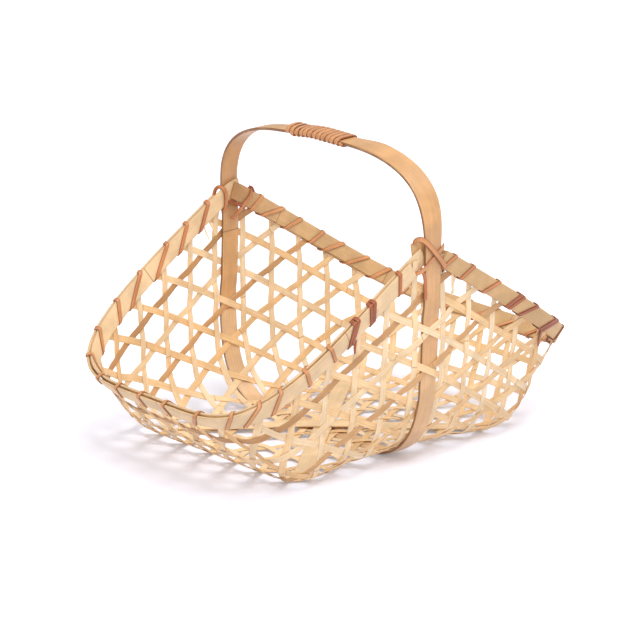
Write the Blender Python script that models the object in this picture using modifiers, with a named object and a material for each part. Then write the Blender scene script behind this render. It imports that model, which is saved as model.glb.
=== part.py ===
"""A mushroom foraging basket: open hexagonal bamboo weave, bound rim and a band handle.

Metres, +Z up. X runs along the basket, Y from side to side, and the handle arches
from side to side over the middle. The origin is on the ground under the middle.

The weave is laid out flat first, as a basket maker does it. Strips in three
directions, 60 degrees apart, leave hexagons between them. At each corner of the base
one hexagon loses a 60-degree wedge and becomes a pentagon, and the sheet closes up
into walls. surface() carries a point of the flat sheet to its place in space.
"""

import math

import bmesh
import bpy
import numpy as np

# Shared clearance
GAP = 0.0004                  # clearance between two pieces that touch
CORNER_CLEAR = 0.0005         # base corners stand this much clear of the ground

# Weaving strips
STRIP_WIDTH = 0.0055
STRIP_THICKNESS = 0.0006
BASE_HALF_PITCHES = 4         # strips that cross the base: twice this many
BASE_HALF_STEPS = 6           # half the base's width, in crossing steps
BASE_SHIFT = 0.0035           # the base sits this far off the rim's middle, to the left
END_RINGS = 3                 # strips that run round each end wall
STRIP_TAIL = 0.0035           # run of a strip's end past the middle of the rim
SHARP_BEND = 7.0            # degrees between two crossings that take a ring between them
ON_LINE_SHARE = 0.01          # how near, in steps, counts as on a line of the weave
WALL_CURVE_POINTS = 25        # points up the wall from the base to the rim
RIM_TABLE_POINTS = 2000       # points round a quarter of the rim

# Handle band, one piece under the base, up both sides and over the top
BAND_WIDTH = 0.018
BAND_THICKNESS = 0.0024
BAND_SIDE_GAP = 0.001         # band edge to the upright strip beside it
HANDLE_TOP = 0.2369           # middle of the band at the top of the arch
ARCH_POWER = 3.1              # squareness of the arch
SIDE_BEND_RUN = 0.0266        # the bottom turns up this far inside the base's long edge
SIDE_BEND_RADIUS = 0.0527
BAND_INSIDE_NEAR = (11, 13)   # crossings that the band passes on the inside
BAND_INSIDE_FAR = (13, 15)
ARCH_RINGS = 24

# Rim, measured at the middle of its slats
END_FLARE = 0.0689            # how far the rim stands out past the base at each end
SIDE_FLARE = 0.0277           # and at the middle of each side
RIM_TOP = 0.170               # height of the rim at the handle
RIM_LOW = 0.0586              # and at the ends
RIM_PLAN_POWER = 4.76         # squareness of the rim seen from above
RIM_FALL_POWER = 1.04
SLAT_HEIGHT = 0.0135
SLAT_THICKNESS = 0.0018
INNER_SLAT_END = 0.0045       # inner slats stop this far from the middle
SLAT_QUARTER_RINGS = 31       # rings of a slat on a quarter of the rim

# Wall profile from the base edge to the rim, at four places round a quarter: middle of
# the side, base corner seen from the side, corner from the end, middle of the end. They
# are the handles of the profile's curve, as shares of the wall's run and of its rise.
WALL_FOOT_OUT_SHARES = (1.246, 0.938, 0.457, 0.386)
WALL_FOOT_RISE_SHARES = (0.111, 0.183, 0.211, 0.220)
WALL_TOP_OUT_SHARES = (0.0, 0.477, 0.295, 0.285)
WALL_TOP_RISE_SHARES = (0.548, 0.394, 0.351, 0.387)

# Cane
CANE_RADIUS = 0.0012
GRIP_CANE_RADIUS = 0.0014
GRIP_NEAR = 0.022             # reach of the grip from the middle to the near side
GRIP_FAR = 0.038              # and to the far side
GRIP_TURNS = 13
LASHING_RISE_SHARE = 0.22     # share of the way to the next place made on the outer face
HOOK_PAST_SLAT_END = 0.0023   # from the outer slat's upper corner to the handle lashing
PASS_PAST_STRIP = 0.0015      # from the upright strip to where the lashing goes through
HANDLE_PASS_SHARE = 1.75      # steps of the weave from the rim's top to that place
HANDLE_CROSS_SHARE = 0.70     # and to where the lashing crosses itself

# Lashing places down one half of the rim: which opening of the weave, and where in it
# as a share of the room to each side
LASHING_PLACE_SHARES = {
    "left": ((0, -0.9), (1, -0.9), (1, 0.6), (2, 0.6), (3, 0.3), (4, -0.3), (5, -0.9),
             (5, 0.9), (6, 0.6), (7, -0.4), (8, -0.7), (9, -0.5), (10, -0.5), (11, -0.9),
             (11, 0.5), (12, 0.0), (13, -0.9), (14, -0.9), (14, 0.9), (15, 0.6)),
    "right": ((0, 0.0), (1, -0.9), (1, 0.9), (2, 0.9), (3, 0.0), (4, -0.5), (5, -0.9),
              (5, 0.9), (6, 0.6), (7, -0.3), (8, -0.5), (9, -0.4), (10, -0.4), (11, 0.2),
              (12, -0.9), (12, 0.9), (13, 0.2), (14, 0.2), (15, -0.6), (15, 0.9)),
}

# Base braces, two flat slats from corner to corner on the inside
BRACE_WIDTH = 0.014
BRACE_THICKNESS = 0.0012
BRACE_RINGS = 15
BRACE_END_SHARE = 0.84        # where a brace stops on the way to the corner

# Derived sizes
COS30, TAN30 = math.cos(math.radians(30)), math.tan(math.radians(30))
SIXTY = math.radians(60)
PITCH = BAND_WIDTH + STRIP_WIDTH + 2 * BAND_SIDE_GAP
STEP = PITCH / math.sqrt(3)
ON_LINE = ON_LINE_SHARE * STEP
BASE_HALF_LENGTH = BASE_HALF_PITCHES * PITCH
BASE_HALF_WIDTH = BASE_HALF_STEPS * STEP
RIM_HALF_LENGTH = BASE_HALF_LENGTH + END_FLARE
RIM_HALF_WIDTH = BASE_HALF_WIDTH + SIDE_FLARE
SIDE_BEND_START = BASE_HALF_WIDTH - SIDE_BEND_RUN
END_REACH = (END_RINGS + 0.5) * PITCH
SIDE_ARC = BASE_HALF_LENGTH / COS30
FAN_ARC = END_REACH * TAN30
QUARTER_ARC = SIDE_ARC + FAN_ARC + BASE_HALF_WIDTH
CROSS_REACH = STRIP_WIDTH / 2 / TAN30
LIFT = (STRIP_THICKNESS + GAP) / (2 * (1 - 2 * CROSS_REACH / STEP))
WEAVE_HALF = LIFT + STRIP_THICKNESS / 2
BAND_LIFT = WEAVE_HALF + GAP + BAND_THICKNESS / 2
RIM_STRIP_LIFT = (STRIP_THICKNESS + GAP) / 2
RIM_ENTRY = (SLAT_HEIGHT / 2 + 2 * GAP) / COS30 + STRIP_WIDTH / 2 * TAN30
SLAT_LIFT = RIM_STRIP_LIFT + STRIP_THICKNESS / 2 + GAP + SLAT_THICKNESS / 2
RIM_HALF_THICKNESS = SLAT_LIFT + SLAT_THICKNESS / 2
BAND_RIM_LIFT = SLAT_LIFT - SLAT_THICKNESS / 2 + BAND_THICKNESS / 2
BAND_HOLD = BAND_WIDTH / 2 * TAN30 + STRIP_WIDTH / 2 / COS30 + 2 * GAP
ARCH_HALF_WIDTH = RIM_HALF_WIDTH + BAND_RIM_LIFT
TOP_STEPS = BASE_HALF_STEPS + 2 * END_RINGS + 1 + BASE_HALF_PITCHES
SLAT_LEAN = SLAT_HEIGHT / 2 * math.sin(math.atan2(RIM_TOP - RIM_LOW, RIM_HALF_LENGTH))
OUTER_SLAT_END = BAND_WIDTH / 2 + GAP + SLAT_LEAN
HOOK_X = OUTER_SLAT_END + SLAT_LEAN + HOOK_PAST_SLAT_END
PASS_X = PITCH / 2 + STRIP_WIDTH / 2 + CANE_RADIUS + PASS_PAST_STRIP

# Finishes: colour, roughness
FINISHES = {
    "bamboo_strip": ((0.86, 0.68, 0.42), 0.55),
    "bamboo_rim": ((0.74, 0.55, 0.34), 0.50),
    "bamboo_handle": ((0.76, 0.52, 0.27), 0.45),
    "cane": ((0.62, 0.32, 0.16), 0.50),
}


def clear_scene():
    for thing in list(bpy.data.objects):
        bpy.data.objects.remove(thing)


def finish(name):
    material = bpy.data.materials.get(name)
    if material is None:
        colour, roughness = FINISHES[name]
        material = bpy.data.materials.new(name)
        material.use_nodes = True
        shader = material.node_tree.nodes["Principled BSDF"]
        shader.inputs["Base Color"].default_value = (*colour, 1)
        shader.inputs["Roughness"].default_value = roughness
        shader.inputs["Metallic"].default_value = 0
    return material


# The flat sheet

def smooth(t):
    t = min(max(t, 0), 1)
    return t * t * (3 - 2 * t)


def walk(point, heading, distance):
    """A straight step on the flat sheet. Stepping into a cut-out wedge comes out on
    its other edge, turned by 60 degrees about the corner of the base."""
    x, y = point[0] + distance * heading[0], point[1] + distance * heading[1]
    side_x = 1 if x >= 0 else -1
    side_y = 1 if y >= 0 else -1
    u, v = side_x * x - BASE_HALF_LENGTH, side_y * y - BASE_HALF_WIDTH
    if u < ON_LINE or v < ON_LINE or v > u * math.tan(SIXTY) - ON_LINE:
        return (x, y), heading
    from_end = side_y * point[1] - BASE_HALF_WIDTH < ON_LINE
    turn = SIXTY if from_end else -SIXTY
    cos, sin = math.cos(turn), math.sin(turn)
    hx, hy = side_x * heading[0], side_y * heading[1]
    u, v = cos * u - sin * v, sin * u + cos * v
    hx, hy = cos * hx - sin * hy, sin * hx + cos * hy
    place = (side_x * (u + BASE_HALF_LENGTH), side_y * (v + BASE_HALF_WIDTH))
    return place, (side_x * hx, side_y * hy)


def foot_and_reach(point):
    """Where a wall point stands on the base's edge, its distance from there, the full
    distance up to the rim, and how far round the rim it is from the middle of a side."""
    x, y = abs(point[0]), abs(point[1])
    u, v = x - BASE_HALF_LENGTH, y - BASE_HALF_WIDTH
    if u <= 0:
        return (x, BASE_HALF_WIDTH), v, END_REACH / COS30 - u * TAN30, x / COS30
    if v < ON_LINE:
        return (BASE_HALF_LENGTH, y), u, END_REACH, QUARTER_ARC - y
    lean = math.atan2(v, u) - SIXTY
    reach = END_REACH / math.cos(lean)
    around = SIDE_ARC + FAN_ARC - END_REACH * math.tan(lean)
    return (BASE_HALF_LENGTH, BASE_HALF_WIDTH), math.hypot(u, v), reach, around


# Space

def rim_table():
    """Points of a quarter of the rim and the distance along it."""
    angle = np.linspace(math.pi / 2, 0, RIM_TABLE_POINTS)
    cos, sin = np.cos(angle), np.sin(angle)
    radius = ((np.abs(cos) / RIM_HALF_LENGTH) ** RIM_PLAN_POWER
              + (np.abs(sin) / RIM_HALF_WIDTH) ** RIM_PLAN_POWER) ** (-1 / RIM_PLAN_POWER)
    x, y = radius * cos, radius * sin
    fall = (np.clip(x, 0, None) / RIM_HALF_LENGTH) ** RIM_FALL_POWER
    z = RIM_LOW + (RIM_TOP - RIM_LOW) * (1 - fall)
    points = np.stack([x, y, z], axis=1)
    length = np.concatenate([[0], np.cumsum(np.linalg.norm(np.diff(points, axis=0), axis=1))])
    return points, length / length[-1]


RIM_POINTS, RIM_SHARES = rim_table()


def rim_quarter(around):
    share = around / QUARTER_ARC
    return np.array([np.interp(share, RIM_SHARES, RIM_POINTS[:, k]) for k in range(3)])


def round_quarter(around, values):
    """A value that changes smoothly between the four places round a quarter."""
    stops = (0, SIDE_ARC, SIDE_ARC + FAN_ARC, QUARTER_ARC)
    for k in range(3):
        if around <= stops[k + 1] or k == 2:
            share = smooth((around - stops[k]) / (stops[k + 1] - stops[k]))
            return values[k] + (values[k + 1] - values[k]) * share


def base_height(x, y):
    """The base is a shallow saddle: its corners stand low, the band passes under its
    middle, and its long edges rise where the band turns up."""
    corner = WEAVE_HALF + CORNER_CLEAR
    middle = BAND_THICKNESS / 2 + BAND_LIFT
    share = 1 - (min(abs(x), BASE_HALF_LENGTH) / BASE_HALF_LENGTH) ** 2
    past = max(abs(y) - SIDE_BEND_START, 0)
    return corner + share * (middle - corner + past * past / (2 * SIDE_BEND_RADIUS))


def wall_curve(foot, around):
    """Points up the wall from its foot to the middle of the rim."""
    start = np.array([foot[0], foot[1], base_height(*foot)])
    end = rim_quarter(around)
    run, rise = (end - start) * (1, 1, 0), (end - start) * (0, 0, 1)
    first = (start + run * round_quarter(around, WALL_FOOT_OUT_SHARES)
             + rise * round_quarter(around, WALL_FOOT_RISE_SHARES))
    second = (end - run * round_quarter(around, WALL_TOP_OUT_SHARES)
              - rise * round_quarter(around, WALL_TOP_RISE_SHARES))
    t =np.linspace(0, 1, WALL_CURVE_POINTS)[:, None]
    return ((1 - t) ** 3 * start + 3 * (1 - t) ** 2 * t * first
            + 3 * (1 - t) * t ** 2 * second + t ** 3 * end)


def surface(point):
    """The place in space of a point on the flat sheet, halfway through the weave."""
    x, y = point
    if abs(x) <= BASE_HALF_LENGTH and abs(y) <= BASE_HALF_WIDTH:
        return np.array([x - BASE_SHIFT, y, base_height(x, y)])
    foot, rise, reach, around = foot_and_reach(point)
    curve = wall_curve(foot, around)
    length = np.concatenate([[0], np.cumsum(np.linalg.norm(np.diff(curve, axis=0), axis=1))])
    share = rise / reach
    if share <= 1:
        place = [np.interp(share * length[-1], length, curve[:, k]) for k in range(3)]
    else:
        last = (curve[-1] - curve[-2]) / np.linalg.norm(curve[-1] - curve[-2])
        place = curve[-1] + last * (share - 1) * length[-1]
    place = np.array(place) * (math.copysign(1, x), math.copysign(1, y), 1)
    return place - np.array([BASE_SHIFT * (1 - smooth(share)), 0, 0])


def unit(vector):
    return vector / np.linalg.norm(vector)


def frame_at(point, heading, other):
    """Place, direction of travel and outward normal at a point of the sheet."""
    half = STEP / 2
    rays = []
    for ray in (heading, other):
        ahead = surface(walk(point, ray, half)[0])
        behind = surface(walk(point, ray, -half)[0])
        rays.append(ahead - behind)
    along = unit(rays[0])
    turn = heading[0] * other[1] - heading[1] * other[0]
    normal = unit(np.cross(rays[1], rays[0]) * (1 if turn > 0 else -1))
    return surface(point), along, normal


# Strips

def lines_through(point):
    """Headings, in degrees, of the strips that cross at a point of the sheet."""
    a, b = point[0] / PITCH, point[1] / STEP
    found = []
    for heading, count in ((90, a - 0.5), (30, (b - a - 1) / 2), (150, (b + a - 1) / 2)):
        if abs(count - round(count)) < ON_LINE_SHARE:
            found.append(heading)
    return found


def heading_degrees(heading):
    return round(math.degrees(math.atan2(heading[1], heading[0]))) % 180


def trace(seed, degrees, way):
    """Crossings from a seed to the rim, one step apart, with their headings."""
    angle = math.radians(degrees)
    heading = (way * math.cos(angle), way * math.sin(angle))
    point = seed
    found = []
    while True:
        x, y = abs(point[0]), abs(point[1])
        if x > BASE_HALF_LENGTH or y > BASE_HALF_WIDTH:
            _, rise, reach, _ = foot_and_reach(point)
            if rise > reach * (1 - ON_LINE_SHARE):
                return found, (point, heading)
        found.append((point, heading))
        point, heading = walk(point, heading, STEP)


def sideways(heading):
    return (-heading[1], heading[0])


def strip_rings(seed, degrees):
    """Middle, direction and normal of a strip at every crossing and at both ends.
    Where the wall bends sharply, one more ring stands between two crossings."""
    forward, front_end = trace(seed, degrees, 1)
    backward, back_end = trace(seed, degrees, -1)
    turned = [(place, (-h[0], -h[1])) for place, h in reversed(backward[1:])]
    rings = []
    last = None
    for place, heading in turned + forward:
        here = heading_degrees(heading)
        other = [d for d in lines_through(place) if d != here][0]
        ray = (math.cos(math.radians(other)), math.sin(math.radians(other)))
        middle, along, normal = frame_at(place, heading, ray)
        if rings and normal.dot(rings[-1][2]) < math.cos(math.radians(SHARP_BEND)):
            spot, way = walk(*last, STEP / 2)
            rings.append(frame_at(spot, way, sideways(way)))
        side = 1 if (here - other) % 180 == 60 else -1
        rings.append((middle + side * LIFT * normal, along, normal))
        last = (place, heading)
    for (place, heading), at_front in ((front_end, True), (back_end, False)):
        crossing = rings[-1] if at_front else rings[0]
        last = forward[-1] if at_front else backward[-1]
        side = math.copysign(1, crossing[2].dot(crossing[0] - surface(last[0])))
        ends = []
        for run in (-RIM_ENTRY, 0, STRIP_TAIL):
            spot, ray = walk(place, heading, run)
            middle, along, normal = frame_at(spot, ray, sideways(ray))
            middle = middle + side * RIM_STRIP_LIFT * normal
            ends.append((middle, along if at_front else -along, normal))
        rings = rings + ends if at_front else ends[::-1] + rings
    return rings


def ribbon(name, rings, width, thickness, collection, material, closed=False):
    """A flat strip through rings of (middle, direction, normal)."""
    mesh = bpy.data.meshes.new(name)
    sheet = bmesh.new()
    rows = []
    for middle, along, normal in rings:
        across = unit(np.cross(normal, along)) * width / 2
        rows.append([sheet.verts.new(middle - across), sheet.verts.new(middle + across)])
    for low, high in zip(rows, rows[1:] + (rows[:1] if closed else [])):
        sheet.faces.new((low[0], low[1], high[1], high[0]))
    sheet.to_mesh(mesh)
    sheet.free()
    mesh.materials.append(finish(material))
    thing = bpy.data.objects.new(name, mesh)
    collection.objects.link(thing)
    solid = thing.modifiers.new("Solidify", "SOLIDIFY")
    solid.thickness = thickness
    solid.offset = 0
    solid.use_even_offset = True


def make_strips(collection):
    for k in range(-BASE_HALF_PITCHES, BASE_HALF_PITCHES):
        seed = ((k + 0.5) * PITCH, STEP / 2)
        name = f"upright_strip_{k + BASE_HALF_PITCHES + 1}"
        ribbon(name, strip_rings(seed, 90), STRIP_WIDTH, STRIP_THICKNESS,
               collection, "bamboo_strip")
    slant_half = (BASE_HALF_PITCHES + BASE_HALF_STEPS) // 2
    for degrees, word in ((30, "rising"), (150, "falling")):
        for k in range(-slant_half, slant_half):
            seed = (0, (2 * k + 1) * STEP)
            ribbon(f"{word}_strip_{k + slant_half + 1}", strip_rings(seed, degrees),
                   STRIP_WIDTH, STRIP_THICKNESS, collection, "bamboo_strip")
    for sign, word in ((-1, "left"), (1, "right")):
        for k in range(END_RINGS):
            seed = (sign * (BASE_HALF_LENGTH + (k + 0.5) * PITCH), STEP / 2)
            ribbon(f"{word}_ring_strip_{k + 1}", strip_rings(seed, 90),
                   STRIP_WIDTH, STRIP_THICKNESS, collection, "bamboo_strip")


# Rim

def rim_frame(around, side_x):
    """Place, direction, normal and upward direction on half of the rim. The distance
    around starts at the top on the far side and runs over the low end to the near side."""
    def place(distance):
        far = distance <= QUARTER_ARC
        quarter = distance if far else 2 * QUARTER_ARC - distance
        return rim_quarter(quarter) * (side_x, 1 if far else -1, 1)

    far = around <= QUARTER_ARC
    quarter = around if far else 2 * QUARTER_ARC - around
    if quarter <= SIDE_ARC:
        foot = (quarter * COS30, BASE_HALF_WIDTH)
    else:
        foot = (BASE_HALF_LENGTH, min(QUARTER_ARC - quarter, BASE_HALF_WIDTH))
    curve = wall_curve(foot, quarter)
    rise = (curve[-1] - curve[-2]) * (side_x, 1 if far else -1, 1)
    near = STEP / 8
    along = unit(place(around + near) - place(around - near))
    up = unit(rise - along * rise.dot(along))
    normal = np.cross(along, up) * (-1 if side_x > 0 else 1)
    return place(around), along, normal, up


def rim_distance(x):
    """How far round the rim it is from the top to a given X."""
    return np.interp(x, RIM_POINTS[:, 0], RIM_SHARES) * QUARTER_ARC


def slat_marks(start):
    """Distances round half the rim for a slat's rings, closer where the rim bends."""
    steps = np.diff(RIM_POINTS, axis=0)
    steps /= np.linalg.norm(steps, axis=1)[:, None]
    bend = np.concatenate([[0, 0], np.cumsum(np.linalg.norm(np.diff(steps, axis=0), axis=1))])
    effort = RIM_SHARES + bend / bend[-1]
    first = np.interp(start / QUARTER_ARC, RIM_SHARES, effort)
    marks = np.interp(np.linspace(first, effort[-1], SLAT_QUARTER_RINGS), effort,
                      RIM_SHARES * QUARTER_ARC)
    return np.concatenate([marks, 2 * QUARTER_ARC - marks[-2::-1]])


def make_slats(collection):
    for side_x, word in ((-1, "left"), (1, "right")):
        for lift, end, layer in ((SLAT_LIFT, OUTER_SLAT_END, "outer"),
                                 (-SLAT_LIFT, INNER_SLAT_END, "inner")):
            rings = []
            for around in slat_marks(rim_distance(end)):
                middle, along, normal, _ = rim_frame(around, side_x)
                rings.append((middle + lift * normal, along, normal))
            ribbon(f"rim_{layer}_{word}", rings, SLAT_HEIGHT, SLAT_THICKNESS,
                   collection, "bamboo_rim")


# Handle band

def arch_point(y):
    """Middle of the band over the basket, and the outward normal there."""
    def height(place):
        share = min(abs(place) / ARCH_HALF_WIDTH, 1)
        return RIM_TOP + (HANDLE_TOP - RIM_TOP) * (1 - share ** ARCH_POWER) ** (1 / ARCH_POWER)

    near = ARCH_HALF_WIDTH / 1000
    return np.array([0, y, height(y)]), unit(
        np.array([0, height(y - near) - height(y + near), 2 * near]))


def band_stops(far):
    """How far the band stands off the middle of the weave, at marks up one side, in
    steps. It lies outside at the rim and under the base, and goes inside two of the
    slanted crossings on each side."""
    inside = BAND_INSIDE_FAR if far else BAND_INSIDE_NEAR
    hold = BAND_HOLD / STEP
    stops = []
    for crossing in range(1, TOP_STEPS, 2):
        lift = -BAND_LIFT if crossing in inside else BAND_LIFT
        stops += [(crossing + part * hold, lift) for part in (-1, 0, 1)]
    return stops + [(TOP_STEPS - hold, BAND_RIM_LIFT), (TOP_STEPS, BAND_RIM_LIFT)]


def make_band(collection):
    middles = []
    for sign, far in ((-1, False), (1, True)):
        side = []
        for steps, lift in band_stops(far):
            place, _, normal = frame_at((0, sign * steps * STEP), (0, 1), (1, 0))
            side.append(place + lift * normal)
        middles += side if far else side[::-1]
    for angle in np.linspace(0, math.pi, ARCH_RINGS + 2)[1:-1]:
        middles.append(arch_point(ARCH_HALF_WIDTH * math.cos(angle))[0])
    rings = []
    for k, middle in enumerate(middles):
        along = unit(middles[(k + 1) % len(middles)] - middles[k - 1])
        rings.append((middle, along, np.array([0, -along[2], along[1]])))
    ribbon("handle_hoop", rings, BAND_WIDTH, BAND_THICKNESS, collection,
           "bamboo_handle", closed=True)


# Cane

def round_corner(half_thick, half_wide, radius):
    """Eight points (thick, wide) that take a strand round a flat section."""
    off = radius + GAP
    cut = off * (math.sqrt(2) - 1)
    return [(half_thick + cut, -half_wide - off), (half_thick + off, -half_wide - cut),
            (half_thick + off, half_wide + cut), (half_thick + cut, half_wide + off),
            (-half_thick - cut, half_wide + off), (-half_thick - off, half_wide + cut),
            (-half_thick - off, -half_wide - cut), (-half_thick - cut, -half_wide - off)]


def self_gap(points, radius):
    """Least clearance of a strand to itself, measured on points a radius apart."""
    fine = []
    for first, last in zip(points, points[1:]):
        count = max(int(np.linalg.norm(last - first) / radius) + 1, 1)
        fine += [first + (last - first) * k / count for k in range(count)]
    fine = np.array(fine)
    run = np.concatenate([[0], np.cumsum(np.linalg.norm(np.diff(fine, axis=0), axis=1))])
    apart = np.linalg.norm(fine[:, None] - fine[None], axis=2)
    apart[np.abs(run[:, None] - run[None]) < 4 * radius] = np.inf
    return apart.min() - 2 * radius


def strand(name, points, radius, collection):
    curve = bpy.data.curves.new(name, "CURVE")
    curve.dimensions = "3D"
    curve.bevel_depth = radius
    curve.bevel_resolution = 1
    curve.use_fill_caps = True
    line = curve.splines.new("POLY")
    line.points.add(len(points) - 1)
    for spot, point in zip(line.points, points):
        spot.co = (*point, 1)
    curve.materials.append(finish("cane"))
    thing = bpy.data.objects.new(name, curve)
    collection.objects.link(thing)
    print(f"{name}: least gap to itself {self_gap(points, radius) * 1000:.2f} mm")


def make_grip(collection):
    section = round_corner(BAND_THICKNESS / 2, BAND_WIDTH / 2, GRIP_CANE_RADIUS)
    count = len(section)
    total = GRIP_TURNS * count
    points = []
    for k in range(total + 1):
        y = GRIP_FAR - (GRIP_FAR + GRIP_NEAR) * k / total
        middle, normal = arch_point(y)
        thick, wide = section[k % count]
        points.append(middle + thick * normal + np.array([wide, 0, 0]))
    strand("grip_binding", points, GRIP_CANE_RADIUS, collection)


def make_rim_lashings(collection):
    """One strand round each half of the rim, the right one from the near side. It comes
    out through an opening of the weave, leans up over the rim and runs along inside on
    its way down to the next opening."""
    section = round_corner(RIM_HALF_THICKNESS, SLAT_HEIGHT / 2, CANE_RADIUS)
    hexagon = 2 * STEP
    first = SIDE_ARC + FAN_ARC - hexagon * (BASE_HALF_PITCHES + 0.5)
    depth = SLAT_HEIGHT / 2 + CANE_RADIUS + GAP
    taken = (PITCH / 2 - depth) * TAN30 + STRIP_WIDTH / 2 / COS30
    room = STEP - taken - CANE_RADIUS - GAP
    for side_x, word in ((-1, "left"), (1, "right")):
        places = []
        for hole, share in LASHING_PLACE_SHARES[word]:
            places.append(first + hole * hexagon + share * room)
        if side_x > 0:
            places.reverse()
        points = []
        for around, following in zip(places, places[1:] + [None]):
            top = around + LASHING_RISE_SHARE * ((following or around) - around)
            for spot, corners in ((around, section[:2]), (top, section[2:6]),
                                  (following, section[6:])):
                if spot is not None:
                    middle, _, normal, up = rim_frame(spot, side_x)
                    points += [middle + thick * normal + wide * up for thick, wide in corners]
        strand(f"rim_lashing_{word}", points, CANE_RADIUS, collection)


def make_handle_lashings(collection):
    """One strand at each foot of the handle. It crosses itself on the band's outer face
    and hooks over the top of the rim to both sides."""
    over_top = round_corner(RIM_HALF_THICKNESS, SLAT_HEIGHT / 2, CANE_RADIUS)[2:6]
    off = RIM_HALF_THICKNESS + CANE_RADIUS + GAP
    on_band = BAND_RIM_LIFT + BAND_THICKNESS / 2 + CANE_RADIUS + GAP
    on_strand = on_band + 2 * CANE_RADIUS + 2 * GAP
    beside_band = BAND_LIFT + BAND_THICKNESS / 2 + CANE_RADIUS + GAP
    low, cross = TOP_STEPS - HANDLE_PASS_SHARE, TOP_STEPS - HANDLE_CROSS_SHARE
    for side_y, word in ((-1, "near"), (1, "far")):
        hook = rim_distance(HOOK_X)
        around = hook if side_y > 0 else 2 * QUARTER_ARC - hook
        points = []
        for side_x, crossing in ((1, on_strand), (-1, on_band)):
            for x, steps, lift in ((side_x * PASS_X, low, -off), (side_x * PASS_X, low, off),
                                   (side_x * BAND_WIDTH / 2, (low + cross) / 2, beside_band),
                                   (0, cross, crossing)):
                middle, _, normal = frame_at((x, side_y * steps * STEP), (0, 1), (1, 0))
                points.append(middle + lift * normal)
            middle, _, normal, up = rim_frame(around, -side_x)
            points += [middle + thick * normal + wide * up for thick, wide in over_top]
        points.append(middle - off * normal)
        strand(f"handle_lashing_{word}", points, CANE_RADIUS, collection)


def make_braces(collection):
    """Two flat slats inside, from corner to corner of the base, one over the other."""
    corner = math.hypot(BASE_HALF_LENGTH, BASE_HALF_WIDTH)
    hump = 2 * BRACE_WIDTH
    for sign, word in ((1, "lower"), (-1, "upper")):
        heading = np.array([BASE_HALF_LENGTH, sign * BASE_HALF_WIDTH]) / corner
        rings = []
        for share in np.linspace(-BRACE_END_SHARE, BRACE_END_SHARE, BRACE_RINGS):
            x, y = heading * share * corner
            lift = WEAVE_HALF + GAP + BRACE_THICKNESS / 2
            if word == "upper":
                lift += (BRACE_THICKNESS + GAP) * smooth(2 - abs(share) * corner / hump)
            along = np.array([heading[0], heading[1], 0])
            place = np.array([x - BASE_SHIFT, y, base_height(x, y) + lift])
            rings.append((place, along, np.array([0, 0, 1])))
        ribbon(f"base_brace_{word}", rings, BRACE_WIDTH, BRACE_THICKNESS,
               collection, "bamboo_rim")


def build():
    clear_scene()
    basket = bpy.data.collections.new("foraging_basket")
    bpy.context.scene.collection.children.link(basket)
    make_strips(basket)
    make_slats(basket)
    make_band(basket)
    make_grip(basket)
    make_rim_lashings(basket)
    make_handle_lashings(basket)
    make_braces(basket)


build()
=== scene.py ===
# %% [markdown]
# # A mushroom foraging basket
# An open bamboo basket of the kind that lets spores and crumbs fall through its
# hexagons. Strips in three directions make the weave, two slats clamp its edge, one
# band runs under the base, up both sides and over the top, and split cane ties it all.
#
# The solid model of the basket is loaded first and never changes. Everything below is
# made in the same frame, in metres: X along the basket, Y across it, Z up.

# %% Open the frame
import math
import random

import bpy
import numpy as np
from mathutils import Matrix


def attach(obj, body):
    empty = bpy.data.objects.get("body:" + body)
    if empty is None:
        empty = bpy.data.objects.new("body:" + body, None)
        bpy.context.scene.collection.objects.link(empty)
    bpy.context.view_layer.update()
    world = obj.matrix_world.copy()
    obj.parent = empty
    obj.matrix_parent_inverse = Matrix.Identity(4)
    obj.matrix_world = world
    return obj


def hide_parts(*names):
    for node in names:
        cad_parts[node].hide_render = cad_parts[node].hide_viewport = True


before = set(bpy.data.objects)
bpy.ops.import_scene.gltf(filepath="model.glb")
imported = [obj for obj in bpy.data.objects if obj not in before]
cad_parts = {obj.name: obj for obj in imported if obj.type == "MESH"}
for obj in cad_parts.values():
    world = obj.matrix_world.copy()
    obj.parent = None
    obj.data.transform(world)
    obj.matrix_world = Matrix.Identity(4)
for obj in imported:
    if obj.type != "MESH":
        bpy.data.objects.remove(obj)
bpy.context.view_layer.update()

scene = bpy.context.scene
print("solid pieces in the frame:", len(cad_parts))

# %% [markdown]
# ## Where the viewer stands
# The photograph was taken with a long lens, a little above the rim and from one long
# side. A long lens keeps the weave's lines nearly parallel, so the distance matters as
# much as the angle. The place was found by fitting known points of the basket.

# %% Camera
CAMERA_AZIMUTH, CAMERA_ELEVATION, CAMERA_DISTANCE = -40.96, 17.14, 3.5156
CAMERA_LENS, CAMERA_SIGHT = 257.7, 30
TARGET = np.array([-0.01645, -0.01045, 0.09515])


def stand(data, azimuth, elevation, distance):
    """A camera or a lamp that stands round the target and looks at it."""
    turn, rise = math.radians(azimuth), math.radians(elevation)
    flat = math.cos(rise)
    thing = bpy.data.objects.new(data.name, data)
    thing.location = TARGET + distance * np.array(
        [math.sin(turn) * flat, -math.cos(turn) * flat, math.sin(rise)])
    thing.rotation_euler = (math.pi / 2 - rise, 0, turn)
    scene.collection.objects.link(thing)
    return thing


lens = bpy.data.cameras.new("camera")
lens.lens, lens.clip_end = CAMERA_LENS, CAMERA_SIGHT
camera = stand(lens, CAMERA_AZIMUTH, CAMERA_ELEVATION, CAMERA_DISTANCE)
scene.camera = camera
print("camera at", [round(value, 3) for value in camera.location])

# %% [markdown]
# ## Light
# Bamboo is matt to satin, so it needs a broad light with a clear side to it: the strips
# then show their edges and the hollow of the basket reads. One wide lamp hangs high in
# front, so the shadow stays small and falls under the basket. Weak ones stand on the
# right and behind on the left, and a large soft one stands by the viewer.
# A pale, slightly cool world fills the rest, which leaves the shadows a little lavender.
# Together they light a level white surface to just about white.

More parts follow.
